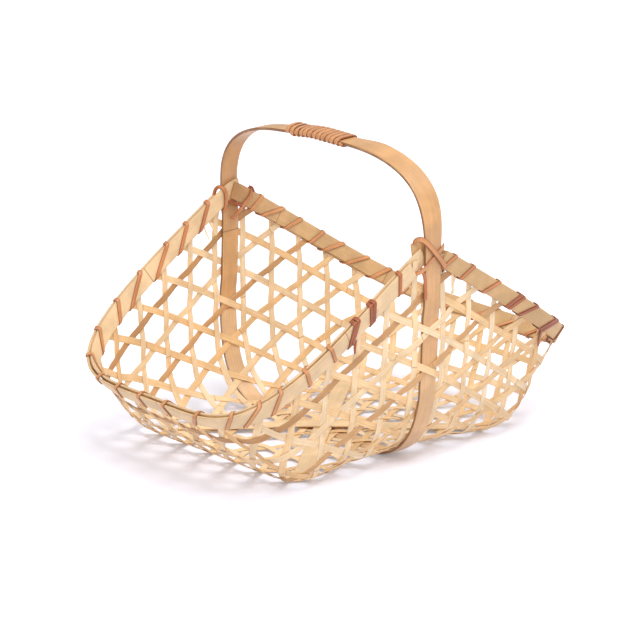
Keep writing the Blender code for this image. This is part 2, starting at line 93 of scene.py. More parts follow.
# %% Lamps and world
# Azimuth, elevation, distance, width, colour, and how bright each one makes a white
# surface that faces it.
LAMPS = {"key": (-20, 66, 2.2, 1.1, (1.0, 0.98, 0.95), 0.56),
         "side": (82, 50, 2.4, 1.2, (1, 1, 1), 0.18),
         "back": (-128, 50, 2.4, 1.2, (1, 1, 1), 0.10),
         "front": (-35, 24, 3.0, 2.2, (1, 1, 1), 0.26)}
WORLD_TINT, WORLD_LEVEL = (0.94, 0.94, 1.0, 1), 0.5

scene.view_settings.view_transform = "Standard"
for name, (azimuth, elevation, distance, width, tint, level) in LAMPS.items():
    light = bpy.data.lights.new(name, "AREA")
    light.size, light.color = width, tint
    light.energy = level * (math.pi * distance) ** 2
    stand(light, azimuth, elevation, distance)
world = bpy.data.worlds.new("studio")
world.use_nodes = True
world.node_tree.nodes["Background"].inputs["Color"].default_value = WORLD_TINT
world.node_tree.nodes["Background"].inputs["Strength"].default_value = WORLD_LEVEL
scene.world = world
print("lamps:", ", ".join(LAMPS))

# %% [markdown]
# ## Small helpers for node trees
# Every finish and every sweep below is a tree of nodes. These few helpers keep each tree
# short enough to read: one plugs in a value or a socket, the others add the nodes that
# come back again and again.

# %% Node helpers
def plug(tree, socket, value):
    """Set an input, or link it when the value is another node's output."""
    if isinstance(value, bpy.types.NodeSocket):
        tree.links.new(value, socket)
    else:
        socket.default_value = value


def add(tree, kind, inputs=None, **settings):
    """A node with its settings and its inputs filled in."""
    node = tree.nodes.new(kind)
    for name, value in settings.items():
        setattr(node, name, value)
    for name, value in (inputs or {}).items():
        plug(tree, node.inputs[name], value)
    return node


def made(tree, kind, inputs=None, **settings):
    """The first output of such a node."""
    return add(tree, kind, inputs, **settings).outputs[0]


def maths(tree, operation, *values):
    """One step of arithmetic."""
    return made(tree, "ShaderNodeMath", dict(enumerate(values)), operation=operation)


def times(tree, one, other):
    return maths(tree, "MULTIPLY", one, other)


def between(tree, value, low, high, to_low=0.0, to_high=1.0):
    """A value that rises smoothly from one level to another."""
    return made(tree, "ShaderNodeMapRange", {
        "Value": value, "From Min": low, "From Max": high, "To Min": to_low,
        "To Max": to_high}, interpolation_type="SMOOTHSTEP")


def mixed(tree, factor, under, over, mode="MIX"):
    """Two colours laid over each other."""
    return add(tree, "ShaderNodeMix", {0: factor, 6: under, 7: over}, data_type="RGBA",
               blend_type=mode).outputs[2]


def group(name, kind, inputs, outputs):
    """An empty node group with named sockets, and its two ends."""
    tree = bpy.data.node_groups.new(name, kind)
    for label, socket, value in inputs:
        entry = tree.interface.new_socket(label, in_out="INPUT", socket_type=socket)
        if value is not None:
            entry.default_value = value
    for label, socket in outputs:
        tree.interface.new_socket(label, in_out="OUTPUT", socket_type=socket)
    return tree, tree.nodes.new("NodeGroupInput").outputs, tree.nodes.new("NodeGroupOutput").inputs


def colour(shade):
    """A colour as the eye reads it on a screen, 0 to 255, turned into light."""
    return tuple((value / 255) ** 2.2 for value in shade) + (1.0,)


# %% [markdown]
# ## The floor
# A white sheet that runs far past the view. The camera sees it partly glow, more so away
# from the basket, and the sheet stays white up to the edge of the picture. In front of
# the basket and under it, its own shading keeps the soft, slightly lavender shadow.

# %% Floor
FLOOR_REACH, FLOOR_PAINT = 6.0, (0.78, 0.77, 0.84, 1)
FLOOR_GLOW, FLOOR_GLOW_FAR = 0.19, 0.55
SHADOW_MIDDLE, SHADOW_REACH = (-0.06, -0.09, 0.0), (0.15, 0.33)

mesh = bpy.data.meshes.new("floor")
mesh.from_pydata([(x * FLOOR_REACH, y * FLOOR_REACH, 0)
                  for x, y in ((-1, -1), (1, -1), (1, 1), (-1, 1))], [], [(0, 1, 2, 3)])
material = bpy.data.materials.new("white_floor")
material.use_nodes = True
tree = material.node_tree
tree.nodes.remove(tree.nodes["Principled BSDF"])
rays = tree.nodes.new("ShaderNodeLightPath").outputs
seen = maths(tree, "MAXIMUM", rays["Is Camera Ray"],
             maths(tree, "MAXIMUM", rays["Is Glossy Ray"], rays["Is Transmission Ray"]))
spot = tree.nodes.new("ShaderNodeTexCoord").outputs["Object"]
away = add(tree, "ShaderNodeVectorMath", {0: spot, 1: SHADOW_MIDDLE},
           operation="DISTANCE").outputs["Value"]
level = between(tree, away, *SHADOW_REACH, FLOOR_GLOW, FLOOR_GLOW_FAR)
matt = made(tree, "ShaderNodeBsdfDiffuse", {"Color": FLOOR_PAINT})
glow = made(tree, "ShaderNodeEmission", {"Color": (1, 1, 1, 1),
                                         "Strength": times(tree, seen, level)})
plug(tree, tree.nodes["Material Output"].inputs["Surface"],
     made(tree, "ShaderNodeAddShader", {0: matt, 1: glow}))
mesh.materials.append(material)
floor = bpy.data.objects.new("floor", mesh)
scene.collection.objects.link(floor)

# %% [markdown]
# ## Sizes of the basket
# These lengths are the ones the solid model was made from, but for the strips, which are
# a little thinner here and lie closer. The weave sets most of them: the band and one
# strip, with a little room, fill the space between two upright strips, and that pitch
# fixes the hexagons, the base and the height of the walls.

# %% Sizes
GAP = 0.0004
CORNER_CLEAR = 0.0005
STRIP_WIDTH, STRIP_THICKNESS = 0.0055, 0.00052
STRIP_LIFT = 0.0004           # a strip's middle from the middle of the weave
BASE_HALF_PITCHES, BASE_HALF_STEPS, END_RINGS = 4, 6, 3
BASE_SHIFT = 0.0035           # the base sits this far off the rim's middle, to the left
STRIP_TAIL = 0.0035
BAND_WIDTH, BAND_THICKNESS, BAND_SIDE_GAP = 0.018, 0.0024, 0.001
HANDLE_TOP, ARCH_POWER = 0.2369, 3.1
SIDE_BEND_RUN, SIDE_BEND_RADIUS = 0.0266, 0.0527
END_FLARE, SIDE_FLARE = 0.0689, 0.0277
RIM_TOP, RIM_LOW = 0.170, 0.0586
RIM_PLAN_POWER, RIM_FALL_POWER = 4.76, 1.04
SLAT_HEIGHT, SLAT_THICKNESS, INNER_SLAT_END = 0.0135, 0.0018, 0.0045
# How the wall bends at four places round a quarter: shares of its run and of its rise at
# the foot, then at the top.
WALL_SHARES = np.array([(1.246, 0.111, 0.0, 0.548), (0.938, 0.183, 0.477, 0.394),
                        (0.457, 0.211, 0.295, 0.351), (0.386, 0.220, 0.285, 0.387)])

COS30, TAN30 = math.cos(math.radians(30)), math.tan(math.radians(30))
SIXTY = math.radians(60)
PITCH = BAND_WIDTH + STRIP_WIDTH + 2 * BAND_SIDE_GAP
STEP = PITCH / math.sqrt(3)
ON_LINE_SHARE = 0.01
ON_LINE = ON_LINE_SHARE * STEP
BASE_HALF = np.array([BASE_HALF_PITCHES * PITCH, BASE_HALF_STEPS * STEP])
RIM_HALF = BASE_HALF + (END_FLARE, SIDE_FLARE)
SIDE_BEND_START = BASE_HALF[1] - SIDE_BEND_RUN
END_REACH = (END_RINGS + 0.5) * PITCH
SIDE_ARC, FAN_ARC = BASE_HALF[0] / COS30, END_REACH * TAN30
QUARTER_ARC = SIDE_ARC + FAN_ARC + BASE_HALF[1]
WALL_STOPS = np.array([0, SIDE_ARC, SIDE_ARC + FAN_ARC, QUARTER_ARC])
WEAVE_HALF = STRIP_LIFT + STRIP_THICKNESS / 2
CLOSE = 0.0001                # pieces that press on each other stay this far apart
BAND_LIFT = WEAVE_HALF + CLOSE + BAND_THICKNESS / 2
SLAT_LIFT = WEAVE_HALF + CLOSE + SLAT_THICKNESS / 2
RIM_HALF_THICKNESS = SLAT_LIFT + SLAT_THICKNESS / 2
ARCH_HALF_WIDTH = RIM_HALF[1] + BAND_LIFT
TOP_STEPS = BASE_HALF_STEPS + 2 * END_RINGS + 1 + BASE_HALF_PITCHES
print(f"weave pitch {PITCH * 1000:.1f} mm, one crossing every {STEP * 1000:.2f} mm")

# %% [markdown]
# ## Small helpers for lines of points
# Everything works on whole arrays of points, because there are thousands of them. Lines
# are measured, read off at other places and eased in the same few ways all through.

# %% Line helpers
def smooth_step(t):
    t = np.clip(t, 0, 1)
    return t * t * (3 - 2 * t)


def unit(vectors):
    return vectors / np.linalg.norm(vectors, axis=-1, keepdims=True)


def run_along(places):
    """How far along its line each point lies."""
    parts = np.linalg.norm(np.diff(places, axis=-2), axis=-1)
    return np.concatenate([np.zeros_like(parts[..., :1]), np.cumsum(parts, axis=-1)], axis=-1)


def read_off(marks, run, table):
    """The columns of a table that is kept at one run of places, read at other marks."""
    return np.stack([np.interp(marks, run, column) for column in table.T], axis=-1)


def even(table, spacing):
    """A line with evenly spaced points. Columns after the first three go along."""
    run = run_along(table[:, :3])
    return read_off(np.linspace(0, run[-1], round(run[-1] / spacing) + 1), run, table)


def smooth_between(at, stops, table):
    """The columns of a table, each changing smoothly from one stop to the next."""
    k = np.clip(np.searchsorted(stops, at) - 1, 0, len(stops) - 2)
    share = smooth_step((at - stops[k]) / (stops[k + 1] - stops[k]))
    return (table[k] + (table[k + 1] - table[k]) * share[:, None]).T


def rotated(vectors, turn):
    cos, sin = np.cos(turn), np.sin(turn)
    x, y = vectors[:, 0], vectors[:, 1]
    return np.stack([cos * x - sin * y, sin * x + cos * y], axis=1)


# %% [markdown]
# ## From a flat sheet to a basket
# A maker lays this weave out flat. At each corner of the base one hexagon loses a wedge
# of 60 degrees and becomes a pentagon, and that makes the sheet stand up into walls. The
# same rule is used here: a strip is walked along in a straight line on the flat sheet,
# jumps across the wedge where it meets one, and each of its points is then carried to
# its place in space.

# %% The flat sheet
def walk(points, headings, distance):
    """A straight step on the sheet. A step into the cut-out wedge comes out on the
    wedge's other edge, turned by 60 degrees."""
    distance = np.reshape(distance, (-1, 1))
    ends = np.atleast_2d(points) + np.atleast_2d(headings) * distance
    starts = np.broadcast_to(np.atleast_2d(points), ends.shape)
    headings = np.broadcast_to(np.atleast_2d(headings), ends.shape)
    side = np.where(ends >= 0, 1.0, -1.0)
    over = side * ends - BASE_HALF
    cut = (over >= ON_LINE).all(axis=1) & (over[:, 1] <= over[:, 0] * math.tan(SIXTY) - ON_LINE)
    from_end = side[:, 1] * starts[:, 1] - BASE_HALF[1] < ON_LINE
    turn = np.where(from_end, SIXTY, -SIXTY) * cut
    return side * (rotated(over, turn) + BASE_HALF), side * rotated(side * headings, turn)


def foot_and_reach(points):
    """Where a wall point stands on the base's edge, its distance from there, the
    distance up to the rim, and how far round the rim it is from a side's middle."""
    u, v = (np.abs(points) - BASE_HALF).T
    cases = [u <= 0, v < ON_LINE]
    lean = np.arctan2(v, u) - SIXTY
    foot = np.minimum(np.abs(points), BASE_HALF)
    rise = np.select(cases, [v, u], np.hypot(u, v))
    reach = np.select(cases, [END_REACH / COS30 - u * TAN30, END_REACH + 0 * u],
                      END_REACH / np.cos(lean))
    around = np.select(cases, [(u + BASE_HALF[0]) / COS30, QUARTER_ARC - BASE_HALF[1] - v],
                       SIDE_ARC + FAN_ARC - END_REACH * np.tan(lean))
    return foot, rise, reach, around


# %% The basket's surface
RIM_SAMPLES, WALL_SAMPLES = 2000, 41


def rim_table():
    """Points of a quarter of the rim and the share of its length at each."""
    angle = np.linspace(math.pi / 2, 0, RIM_SAMPLES)
    cos, sin = np.cos(angle), np.sin(angle)
    radius = ((np.abs(cos) / RIM_HALF[0]) ** RIM_PLAN_POWER
              + (np.abs(sin) / RIM_HALF[1]) ** RIM_PLAN_POWER) ** (-1 / RIM_PLAN_POWER)
    x = radius * cos
    fall = (np.clip(x, 0, None) / RIM_HALF[0]) ** RIM_FALL_POWER
    points = np.stack([x, radius * sin, RIM_LOW + (RIM_TOP - RIM_LOW) * (1 - fall)], axis=1)
    run = run_along(points)
    return points, run / run[-1]


RIM_POINTS, RIM_SHARES = rim_table()


def rim_quarter(around):
    return read_off(around / QUARTER_ARC, RIM_SHARES, RIM_POINTS)


def base_height(points):
    """The base is a shallow saddle, lowest at its corners, with the band under it."""
    x, y = np.abs(points).T
    corner = WEAVE_HALF + CORNER_CLEAR
    middle = BAND_THICKNESS / 2 + BAND_LIFT
    share = 1 - (np.minimum(x, BASE_HALF[0]) / BASE_HALF[0]) ** 2
    past = np.maximum(y - SIDE_BEND_START, 0)
    return corner + share * (middle - corner + past * past / (2 * SIDE_BEND_RADIUS))


def wall_curves(foot, around):
    """Points up the wall from its foot to the middle of the rim, one row each."""
    start, end = np.column_stack([foot, base_height(foot)]), rim_quarter(around)
    run, rise = (end - start) * (1, 1, 0), (end - start) * (0, 0, 1)
    shares = smooth_between(around, WALL_STOPS, WALL_SHARES)[:, :, None]
    first = start + run * shares[0] + rise * shares[1]
    second = end - run * shares[2] - rise * shares[3]
    t = np.linspace(0, 1, WALL_SAMPLES)[None, :, None]
    start, first, second, end = (row[:, None, :] for row in (start, first, second, end))
    return ((1 - t) ** 3 * start + 3 * (1 - t) ** 2 * t * first
            + 3 * (1 - t) * t ** 2 * second + t ** 3 * end)


def surface(points):
    """The place in space of points on the flat sheet, halfway through the weave."""
    points = np.atleast_2d(points)
    foot, rise, reach, around = foot_and_reach(points)
    curve = wall_curves(foot, around)
    length = run_along(curve)
    target = rise / reach * length[:, -1]
    row = np.arange(len(points))
    k = np.clip((length < target[:, None]).sum(axis=1) - 1, 0, curve.shape[1] - 2)
    part = (target - length[row, k]) / (length[row, k + 1] - length[row, k])
    place = curve[row, k] + (curve[row, k + 1] - curve[row, k]) * part[:, None]
    flat = np.column_stack([np.abs(points), base_height(points)])
    on_base = (np.abs(points) <= BASE_HALF).all(axis=1)
    place = np.where(on_base[:, None], flat, place)
    place = place * np.column_stack([np.where(points < 0, -1.0, 1.0), np.ones(len(points))])
    place[:, 0] -= BASE_SHIFT * (1 - smooth_step(np.where(on_base, 0, rise / reach)))
    return place


# %% [markdown]
# Bent bamboo has no creases, so the surface is eased: each place is averaged with six
# places round it on the sheet. All strips share that eased surface, and so they still
# pass each other cleanly.

# %% Eased surface and its directions
EASE_RADIUS, EASE_OWN_WEIGHT, EASE_PLACES = 0.005, 2, 6
HEADING_REACH = STEP / 3


def eased(points):
    points = np.atleast_2d(points)
    total = EASE_OWN_WEIGHT * surface(points)
    for angle in np.arange(EASE_PLACES) * (2 * math.pi / EASE_PLACES):
        total = total + surface(walk(points, (math.cos(angle), math.sin(angle)), EASE_RADIUS)[0])
    return total / (EASE_OWN_WEIGHT + EASE_PLACES)


def frames(points, headings):
    """Place, direction of travel and outward direction at points of the sheet."""
    ahead, left = (eased(walk(points, ways, HEADING_REACH)[0])
                   - eased(walk(points, ways, -HEADING_REACH)[0])
                   for ways in (headings, np.column_stack([-headings[:, 1], headings[:, 0]])))
    return eased(points), unit(ahead), unit(np.cross(left, ahead))


print("top of the rim at", surface([[0, TOP_STEPS * STEP]]).round(4)[0])

# %% [markdown]
# ## One sweep for all flat stock
# Strips, slats, the band and the cane are all flat stock that follows a path, and that is
# work for Geometry Nodes. The path is a line of points that carries its own outward
# direction. The tree turns it into a curve, draws a flat section with eased edges and
# sweeps it. A superellipse makes that section: with a low squareness power it is a flat
# bar, with a high one a lens. The tree also stores where a point of the surface lies in
# the stock, so that the grain can follow it.

# %% The sweep tree
SWEEP, given, result = group(
    "flat_stock_sweep", "GeometryNodeTree",
    [("Path", "NodeSocketGeometry", None), ("Width", "NodeSocketFloat", 0.005),
     ("Thickness", "NodeSocketFloat", 0.001), ("Squareness", "NodeSocketFloat", 0.3),
     ("Sides", "NodeSocketInt", 16), ("Finish", "NodeSocketMaterial", None)],
    [("Mesh", "NodeSocketGeometry")])
SWEEP.is_modifier = True
SWEEP_SOCKETS = {item.name: item.identifier for item in SWEEP.interface.items_tree
                 if item.in_out == "INPUT"}


def named(name, kind="FLOAT"):
    return made(SWEEP, "GeometryNodeInputNamedAttribute", {"Name": name}, data_type=kind)


line = made(SWEEP, "GeometryNodeMeshToCurve", {"Mesh": given["Path"]})
line = made(SWEEP, "GeometryNodeSetCurveNormal", {
    "Curve": line, "Normal": named("facing", "FLOAT_VECTOR")}, mode="FREE")
section = made(SWEEP, "GeometryNodeCurvePrimitiveCircle", {
    "Resolution": given["Sides"], "Radius": 1.0}, mode="RADIUS")
spot = add(SWEEP, "ShaderNodeSeparateXYZ", {0: made(SWEEP, "GeometryNodeInputPosition")})
corner = {}
for axis, label, size in (("X", "skin", "Thickness"), ("Y", "across", "Width")):
    value = spot.outputs[axis]
    share = maths(SWEEP, "POWER", maths(SWEEP, "ABSOLUTE", value), given["Squareness"])
    section = made(SWEEP, "GeometryNodeStoreNamedAttribute", {
        "Geometry": section, "Name": label,
        "Value": times(SWEEP, share, maths(SWEEP, "SIGN", value))},
        data_type="FLOAT", domain="POINT")
    corner[axis] = times(SWEEP, named(label), times(SWEEP, given[size], 0.5))
section = made(SWEEP, "GeometryNodeSetPosition", {
    "Geometry": section, "Position": made(SWEEP, "ShaderNodeCombineXYZ", corner)})
body = made(SWEEP, "GeometryNodeCurveToMesh", {
    "Curve": line, "Profile Curve": section, "Scale": named("girth"), "Fill Caps": True})
for kind in ("GeometryNodeSetShadeSmooth", "GeometryNodeRealizeInstances"):
    body = made(SWEEP, kind, {"Geometry": body})
body = made(SWEEP, "GeometryNodeSetMaterial", {"Geometry": body, "Material": given["Finish"]})
plug(SWEEP, result["Mesh"], body)
print("sweep inputs:", ", ".join(SWEEP_SOCKETS))

# %% [markdown]
# The paths themselves are plain lists of places. One helper squares the outward
# direction to the line, and another runs the tree and keeps the plain mesh.

# %% Sweep helpers
FAR_OFF = 9.0


def path(places, facing, tone, girth=1.0, closed=False, start=0.0, nodes=(FAR_OFF,)):
    """A line for the sweep: places, outward directions, tone and thickness share. The
    nodes are the distances along it at which the culm had a ring."""
    places, spread = np.asarray(places), np.ones(len(places))
    ahead = np.gradient(places, axis=0)
    if closed:
        ahead = np.roll(places, -1, axis=0) - np.roll(places, 1, axis=0)
    ahead = unit(ahead)
    facing = unit(facing - ahead * (facing * ahead).sum(axis=1, keepdims=True))
    run = run_along(places)
    away = run[:, None] - np.asarray(nodes)[None, :]
    away = away[np.arange(len(places)), np.abs(away).argmin(axis=1)]
    return {"places": places, "facing": facing, "along": run + start, "tone": tone * spread,
            "girth": girth * spread, "node_away": away, "closed": closed}


def swept(name, stock, paths, *nodes):
    """One piece made of flat stock swept along its paths. It is tied to the frame, and
    it stands for the solids that are named."""
    slot, *settings = stock
    line = bpy.data.meshes.new(name)
    edges, start = [], 0
    for one in paths:
        end = start + len(one["places"]) - 1
        edges += [(k, k + 1) for k in range(start, end)] + [(end, start)] * one["closed"]
        start = end + 1
    joined = {label: np.concatenate([one[label] for one in paths]) for label in paths[0]
              if label != "closed"}
    line.from_pydata(joined["places"].tolist(), edges, [])
    for label in ("along", "tone", "girth", "node_away"):
        line.attributes.new(label, "FLOAT", "POINT").data.foreach_set("value", joined[label])
    facing = line.attributes.new("facing", "FLOAT_VECTOR", "POINT")
    facing.data.foreach_set("vector", joined["facing"].ravel())
    piece = bpy.data.objects.new(name, line)
    scene.collection.objects.link(piece)
    modifier = piece.modifiers.new("sweep", "NODES")
    modifier.node_group = SWEEP
    for label, value in zip(("Width", "Thickness", "Squareness", "Sides", "Finish"), settings):
        modifier[SWEEP_SOCKETS[label]] = value
    scene.view_layers[0].update()
    seen = piece.evaluated_get(bpy.context.evaluated_depsgraph_get())
    mesh = bpy.data.meshes.new_from_object(seen)
    piece.modifiers.remove(modifier)
    piece.data = mesh
    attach(piece, "root")
    if nodes:
        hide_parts(*nodes)
    print(f"{name}: {len(paths)} paths, {len(mesh.polygons)} faces")


# %% [markdown]
# ## Bamboo and cane as finishes
# Split bamboo shows three things: fine fibres that run along it, a ring wherever the
# culm had a node, and darker edges, partly dirt where hands reach them and partly painted
# shade, such as the dark lines between the slats, under the band and along the cane. Each
# of these is a node group of its own, because strips, slats, band and cane all use them at
# their own scale. They read how far along and across the stock a point lies.

# %% Fibres
# Broad and fine fibres: how fast they change along and across the stock, their detail,
# and their share in what shows.
FIBRE_KINDS = ((14, 700, 2, 0.6), (45, 2600, 3, 0.4))
FIBRE_ROUGHNESS, TONE_SEED, SKIN_SEED = 0.6, 37.0, 0.4
FIBRES, given, result = group(
    "bamboo_fibres", "ShaderNodeTree", [("Width", "NodeSocketFloat", 0.0055)],
    [("Streaks", "NodeSocketFloat"), ("Height", "NodeSocketFloat")])


def attribute(tree, name):
    return add(tree, "ShaderNodeAttribute", attribute_name=name,
               attribute_type="GEOMETRY").outputs["Fac"]


across = times(FIBRES, attribute(FIBRES, "across"), given["Width"])
seed = maths(FIBRES, "ADD", times(FIBRES, attribute(FIBRES, "tone"), TONE_SEED),
             times(FIBRES, attribute(FIBRES, "skin"), SKIN_SEED))
shown = []
for along_scale, across_scale, detail, share in FIBRE_KINDS:
    place = made(FIBRES, "ShaderNodeCombineXYZ", {
        0: times(FIBRES, attribute(FIBRES, "along"), along_scale),
        1: times(FIBRES, across, across_scale), 2: seed})
    fibre = made(FIBRES, "ShaderNodeTexNoise", {
        "Vector": place, "Scale": 1.0, "Detail": detail, "Roughness": FIBRE_ROUGHNESS})
    shown.append(times(FIBRES, fibre, share))
plug(FIBRES, result["Streaks"], maths(FIBRES, "ADD", *shown))
plug(FIBRES, result["Height"], fibre)

# %% Nodes of the culm
KNOT_SLANT, KNOT_SWELL_REACH = 0.0004, 0.004
KNOTS, given, result = group(
    "culm_knots", "ShaderNodeTree", [("Thickness", "NodeSocketFloat", 0.0008)],
    [("Line", "NodeSocketFloat"), ("Swelling", "NodeSocketFloat")])
away = maths(KNOTS, "ADD", attribute(KNOTS, "node_away"),
             times(KNOTS, attribute(KNOTS, "across"), KNOT_SLANT))
away = maths(KNOTS, "ABSOLUTE", away)
plug(KNOTS, result["Line"], between(KNOTS, away, given["Thickness"], 0.0))
plug(KNOTS, result["Swelling"], between(KNOTS, away, KNOT_SWELL_REACH, 0.0))

# %% Edges: dirt, painted shade and patches
PATCH_SCALE, PATCH_DETAIL, EDGE_RAGGED = 55.0, 3.0, 0.1
EDGES, given, result = group(
    "edge_dirt_and_shade", "ShaderNodeTree", [("Start", "NodeSocketFloat", 0.8)],
    [("Edge", "NodeSocketFloat"), ("Patches", "NodeSocketFloat")])
patches = made(EDGES, "ShaderNodeTexNoise", {
    "Vector": EDGES.nodes.new("ShaderNodeTexCoord").outputs["Object"],
    "Scale": PATCH_SCALE, "Detail": PATCH_DETAIL})
ragged = maths(EDGES, "ADD", maths(EDGES, "ABSOLUTE", attribute(EDGES, "across")),
               times(EDGES, maths(EDGES, "SUBTRACT", patches, 0.5), EDGE_RAGGED))
plug(EDGES, result["Edge"], between(EDGES, ragged, given["Start"], 1.0))
plug(EDGES, result["Patches"], patches)
print("finish groups:", FIBRES.name, KNOTS.name, EDGES.name)

# %% [markdown]
# A finish is then a few colours: the pale and the deep of its fibres, what its edges and
# knots turn to, and how the tone of one piece may shift it towards brown. Roughness and
# relief come from the same fibres.

# %% A finish from its colours
PATCH_NOISE, PATCH_SHADES = (0.35, 0.7), (0.88, 1.06)
STREAK_RANGE, ROUGHER, SMOOTHER = (0.3, 0.7), 0.08, 0.06
KNOT_SHARE, COAT_ROUGHNESS = 0.75, 0.3
FIBRE_RELIEF, KNOT_RELIEF, BUMP_STRENGTH = 0.5, 0.9, 0.6


def flat_stock_finish(name, width, pale, deep, edge, knot, tones, edge_share=0.4,
                      edge_start=0.8, roughness=0.5, relief=0.00012, softness=0.14, gloss=0.0):
    material = bpy.data.materials.new(name)
    material.use_nodes = True
    tree = material.node_tree
    fibres, knots, edges = (add(tree, "ShaderNodeGroup", node_tree=kind)
                            for kind in (FIBRES, KNOTS, EDGES))
    fibres.inputs["Width"].default_value = width
    edges.inputs["Start"].default_value = edge_start
    streaks = fibres.outputs["Streaks"]
    paint = mixed(tree, between(tree, streaks, 0.5 - softness, 0.5 + softness),
                  colour(deep), colour(pale))
    shades = add(tree, "ShaderNodeValToRGB", {"Fac": attribute(tree, "tone")})
    stops = shades.color_ramp.elements
    while len(stops) > 1:
        stops.remove(stops[0])
    for k, (place, shade) in enumerate(tones):
        stop = stops[0] if k == 0 else stops.new(place)
        stop.position, stop.color = place, colour(shade)
    paint = mixed(tree, 1.0, paint, shades.outputs["Color"], "MULTIPLY")
    patchy = between(tree, edges.outputs["Patches"], *PATCH_NOISE, *PATCH_SHADES)
    patchy = made(tree, "ShaderNodeCombineColor", {0: patchy, 1: patchy, 2: patchy})
    paint = mixed(tree, 1.0, paint, patchy, "MULTIPLY")
    # darker edges: partly dirt, partly painted shade
    for mask, share, shade in ((edges.outputs["Edge"], edge_share, edge),
                               (knots.outputs["Line"], KNOT_SHARE, knot)):
        paint = mixed(tree, times(tree, mask, share), paint, colour(shade))
    shader = tree.nodes["Principled BSDF"].inputs
    plug(tree, shader["Base Color"], paint)
    plug(tree, shader["Roughness"], between(tree, streaks, *STREAK_RANGE, roughness + ROUGHER,
                                            roughness - SMOOTHER))
    shader["Coat Weight"].default_value = gloss
    shader["Coat Roughness"].default_value = COAT_ROUGHNESS
    height = maths(tree, "ADD", times(tree, fibres.outputs["Height"], FIBRE_RELIEF),
                   times(tree, knots.outputs["Swelling"], KNOT_RELIEF))
    plug(tree, shader["Normal"], made(tree, "ShaderNodeBump", {
        "Height": height, "Strength": BUMP_STRENGTH, "Distance": relief}))
    return material


# The edge colours below are partly dirt and partly painted shade.
STRIP_FINISH = flat_stock_finish(
    "split_bamboo", STRIP_WIDTH, pale=(253, 233, 196), deep=(243, 207, 158),
    edge=(226, 178, 122), knot=(190, 142, 92), edge_share=0.35,
    tones=((0.0, (255, 255, 255)), (0.5, (252, 236, 212)), (0.75, (226, 200, 170)),
           (0.9, (200, 168, 138)), (1.0, (176, 140, 104))))
SLAT_FINISH = flat_stock_finish(
    "planed_slat", SLAT_HEIGHT, pale=(248, 219, 174), deep=(238, 201, 152),
    edge=(196, 148, 100), knot=(156, 108, 66), edge_start=0.9, softness=0.28,
    tones=((0.0, (255, 255, 255)), (0.8, (226, 211, 190)), (1.0, (206, 176, 148))))
BAND_FINISH = flat_stock_finish(
    "planed_band", BAND_WIDTH, pale=(240, 204, 158), deep=(224, 178, 128),
    edge=(122, 78, 44), knot=(132, 86, 52), edge_share=0.85, edge_start=0.955,
    roughness=0.42, softness=0.2, gloss=0.25,
    tones=((0.0, (255, 255, 255)), (0.5, (238, 221, 200)), (1.0, (242, 225, 198))))
CANE_FINISH = flat_stock_finish(
    "split_cane", 0.0036, pale=(236, 174, 116), deep=(202, 132, 82),
    edge=(116, 60, 34), knot=(90, 46, 24), edge_share=0.75, edge_start=0.6,
    roughness=0.4, relief=0.0001, gloss=0.15,
    tones=((0.0, (255, 252, 244)), (0.3, (255, 255, 255)), (0.6, (232, 200, 182)),
           (1.0, (168, 112, 96))))

# %% The stock
# Slot, width, thickness, squareness, sides and finish. The band is planed a little
# narrower than the room that the weave leaves.
BRACE_WIDTH, BRACE_THICKNESS = 0.014, 0.0012
CANE_WIDTH, CANE_THICKNESS = 0.0034, 0.0010
STRIP = ("bamboo_strip", STRIP_WIDTH, STRIP_THICKNESS, 0.3, 16, STRIP_FINISH)
SLIVER = ("bamboo_strip", STRIP_WIDTH, STRIP_THICKNESS, 0.3, 8, STRIP_FINISH)
SLAT = ("bamboo_rim", SLAT_HEIGHT, SLAT_THICKNESS, 0.22, 24, SLAT_FINISH)
BRACE = ("bamboo_rim", BRACE_WIDTH, BRACE_THICKNESS, 0.25, 20, SLAT_FINISH)
BAND = ("bamboo_handle", 0.0158, BAND_THICKNESS, 0.2, 24, BAND_FINISH)
CANE = ("cane", CANE_WIDTH, CANE_THICKNESS, 0.65, 12, CANE_FINISH)
GRIP_CANE = ("cane", 0.0049, 0.0017, 0.75, 12, CANE_FINISH)
print("widths in mm:", [round(1000 * stock[1], 1) for stock in (STRIP, SLAT, BAND, CANE)])

# %% [markdown]
# ## The weave
# Thirty-four strips make the basket. Each one passes over and under the strips it
# meets, one crossing after the other. A strip is stiff, so it lies flat for as long as it
# crosses another and changes sides in between. In the solid model those steps are
# coarse, with clear gaps. Here the strips lie as close as real ones do.

# %% Follow a strip over the sheet
HOLD = 0.0034                 # a strip lies flat this far to both sides of a crossing
PARTS_PER_STEP = 8


def lines_through(point):
    """Headings, in degrees, of the strips that cross at a point of the sheet."""
    a, b = point[0] / PITCH, point[1] / STEP
    counts = {90: a - 0.5, 30: (b - a - 1) / 2, 150: (b + a - 1) / 2}
    return [turn for turn, count in counts.items() if abs(count - round(count)) < ON_LINE_SHARE]


def trace(seed, degrees, way):
    """Crossings from a seed to the rim, one step apart, with their headings."""
    angle = math.radians(degrees)
    point, heading = np.array([seed]), way * np.array([[math.cos(angle), math.sin(angle)]])
    found = []
    while True:
        if (np.abs(point) > BASE_HALF).any():
            _, rise, reach, _ = foot_and_reach(point)
            if rise[0] > reach[0] * (1 - ON_LINE_SHARE):
                return found
        found.append((point[0], heading[0]))
        point, heading = walk(point, heading, STEP)


def side_of(place, heading):
    """1 where a strip passes outside at a crossing, -1 where it passes inside."""
    here = round(math.degrees(math.atan2(heading[1], heading[0]))) % 180
    other = [turn for turn in lines_through(place) if turn != here][0]
    return 1 if (here - other) % 180 == 60 else -1


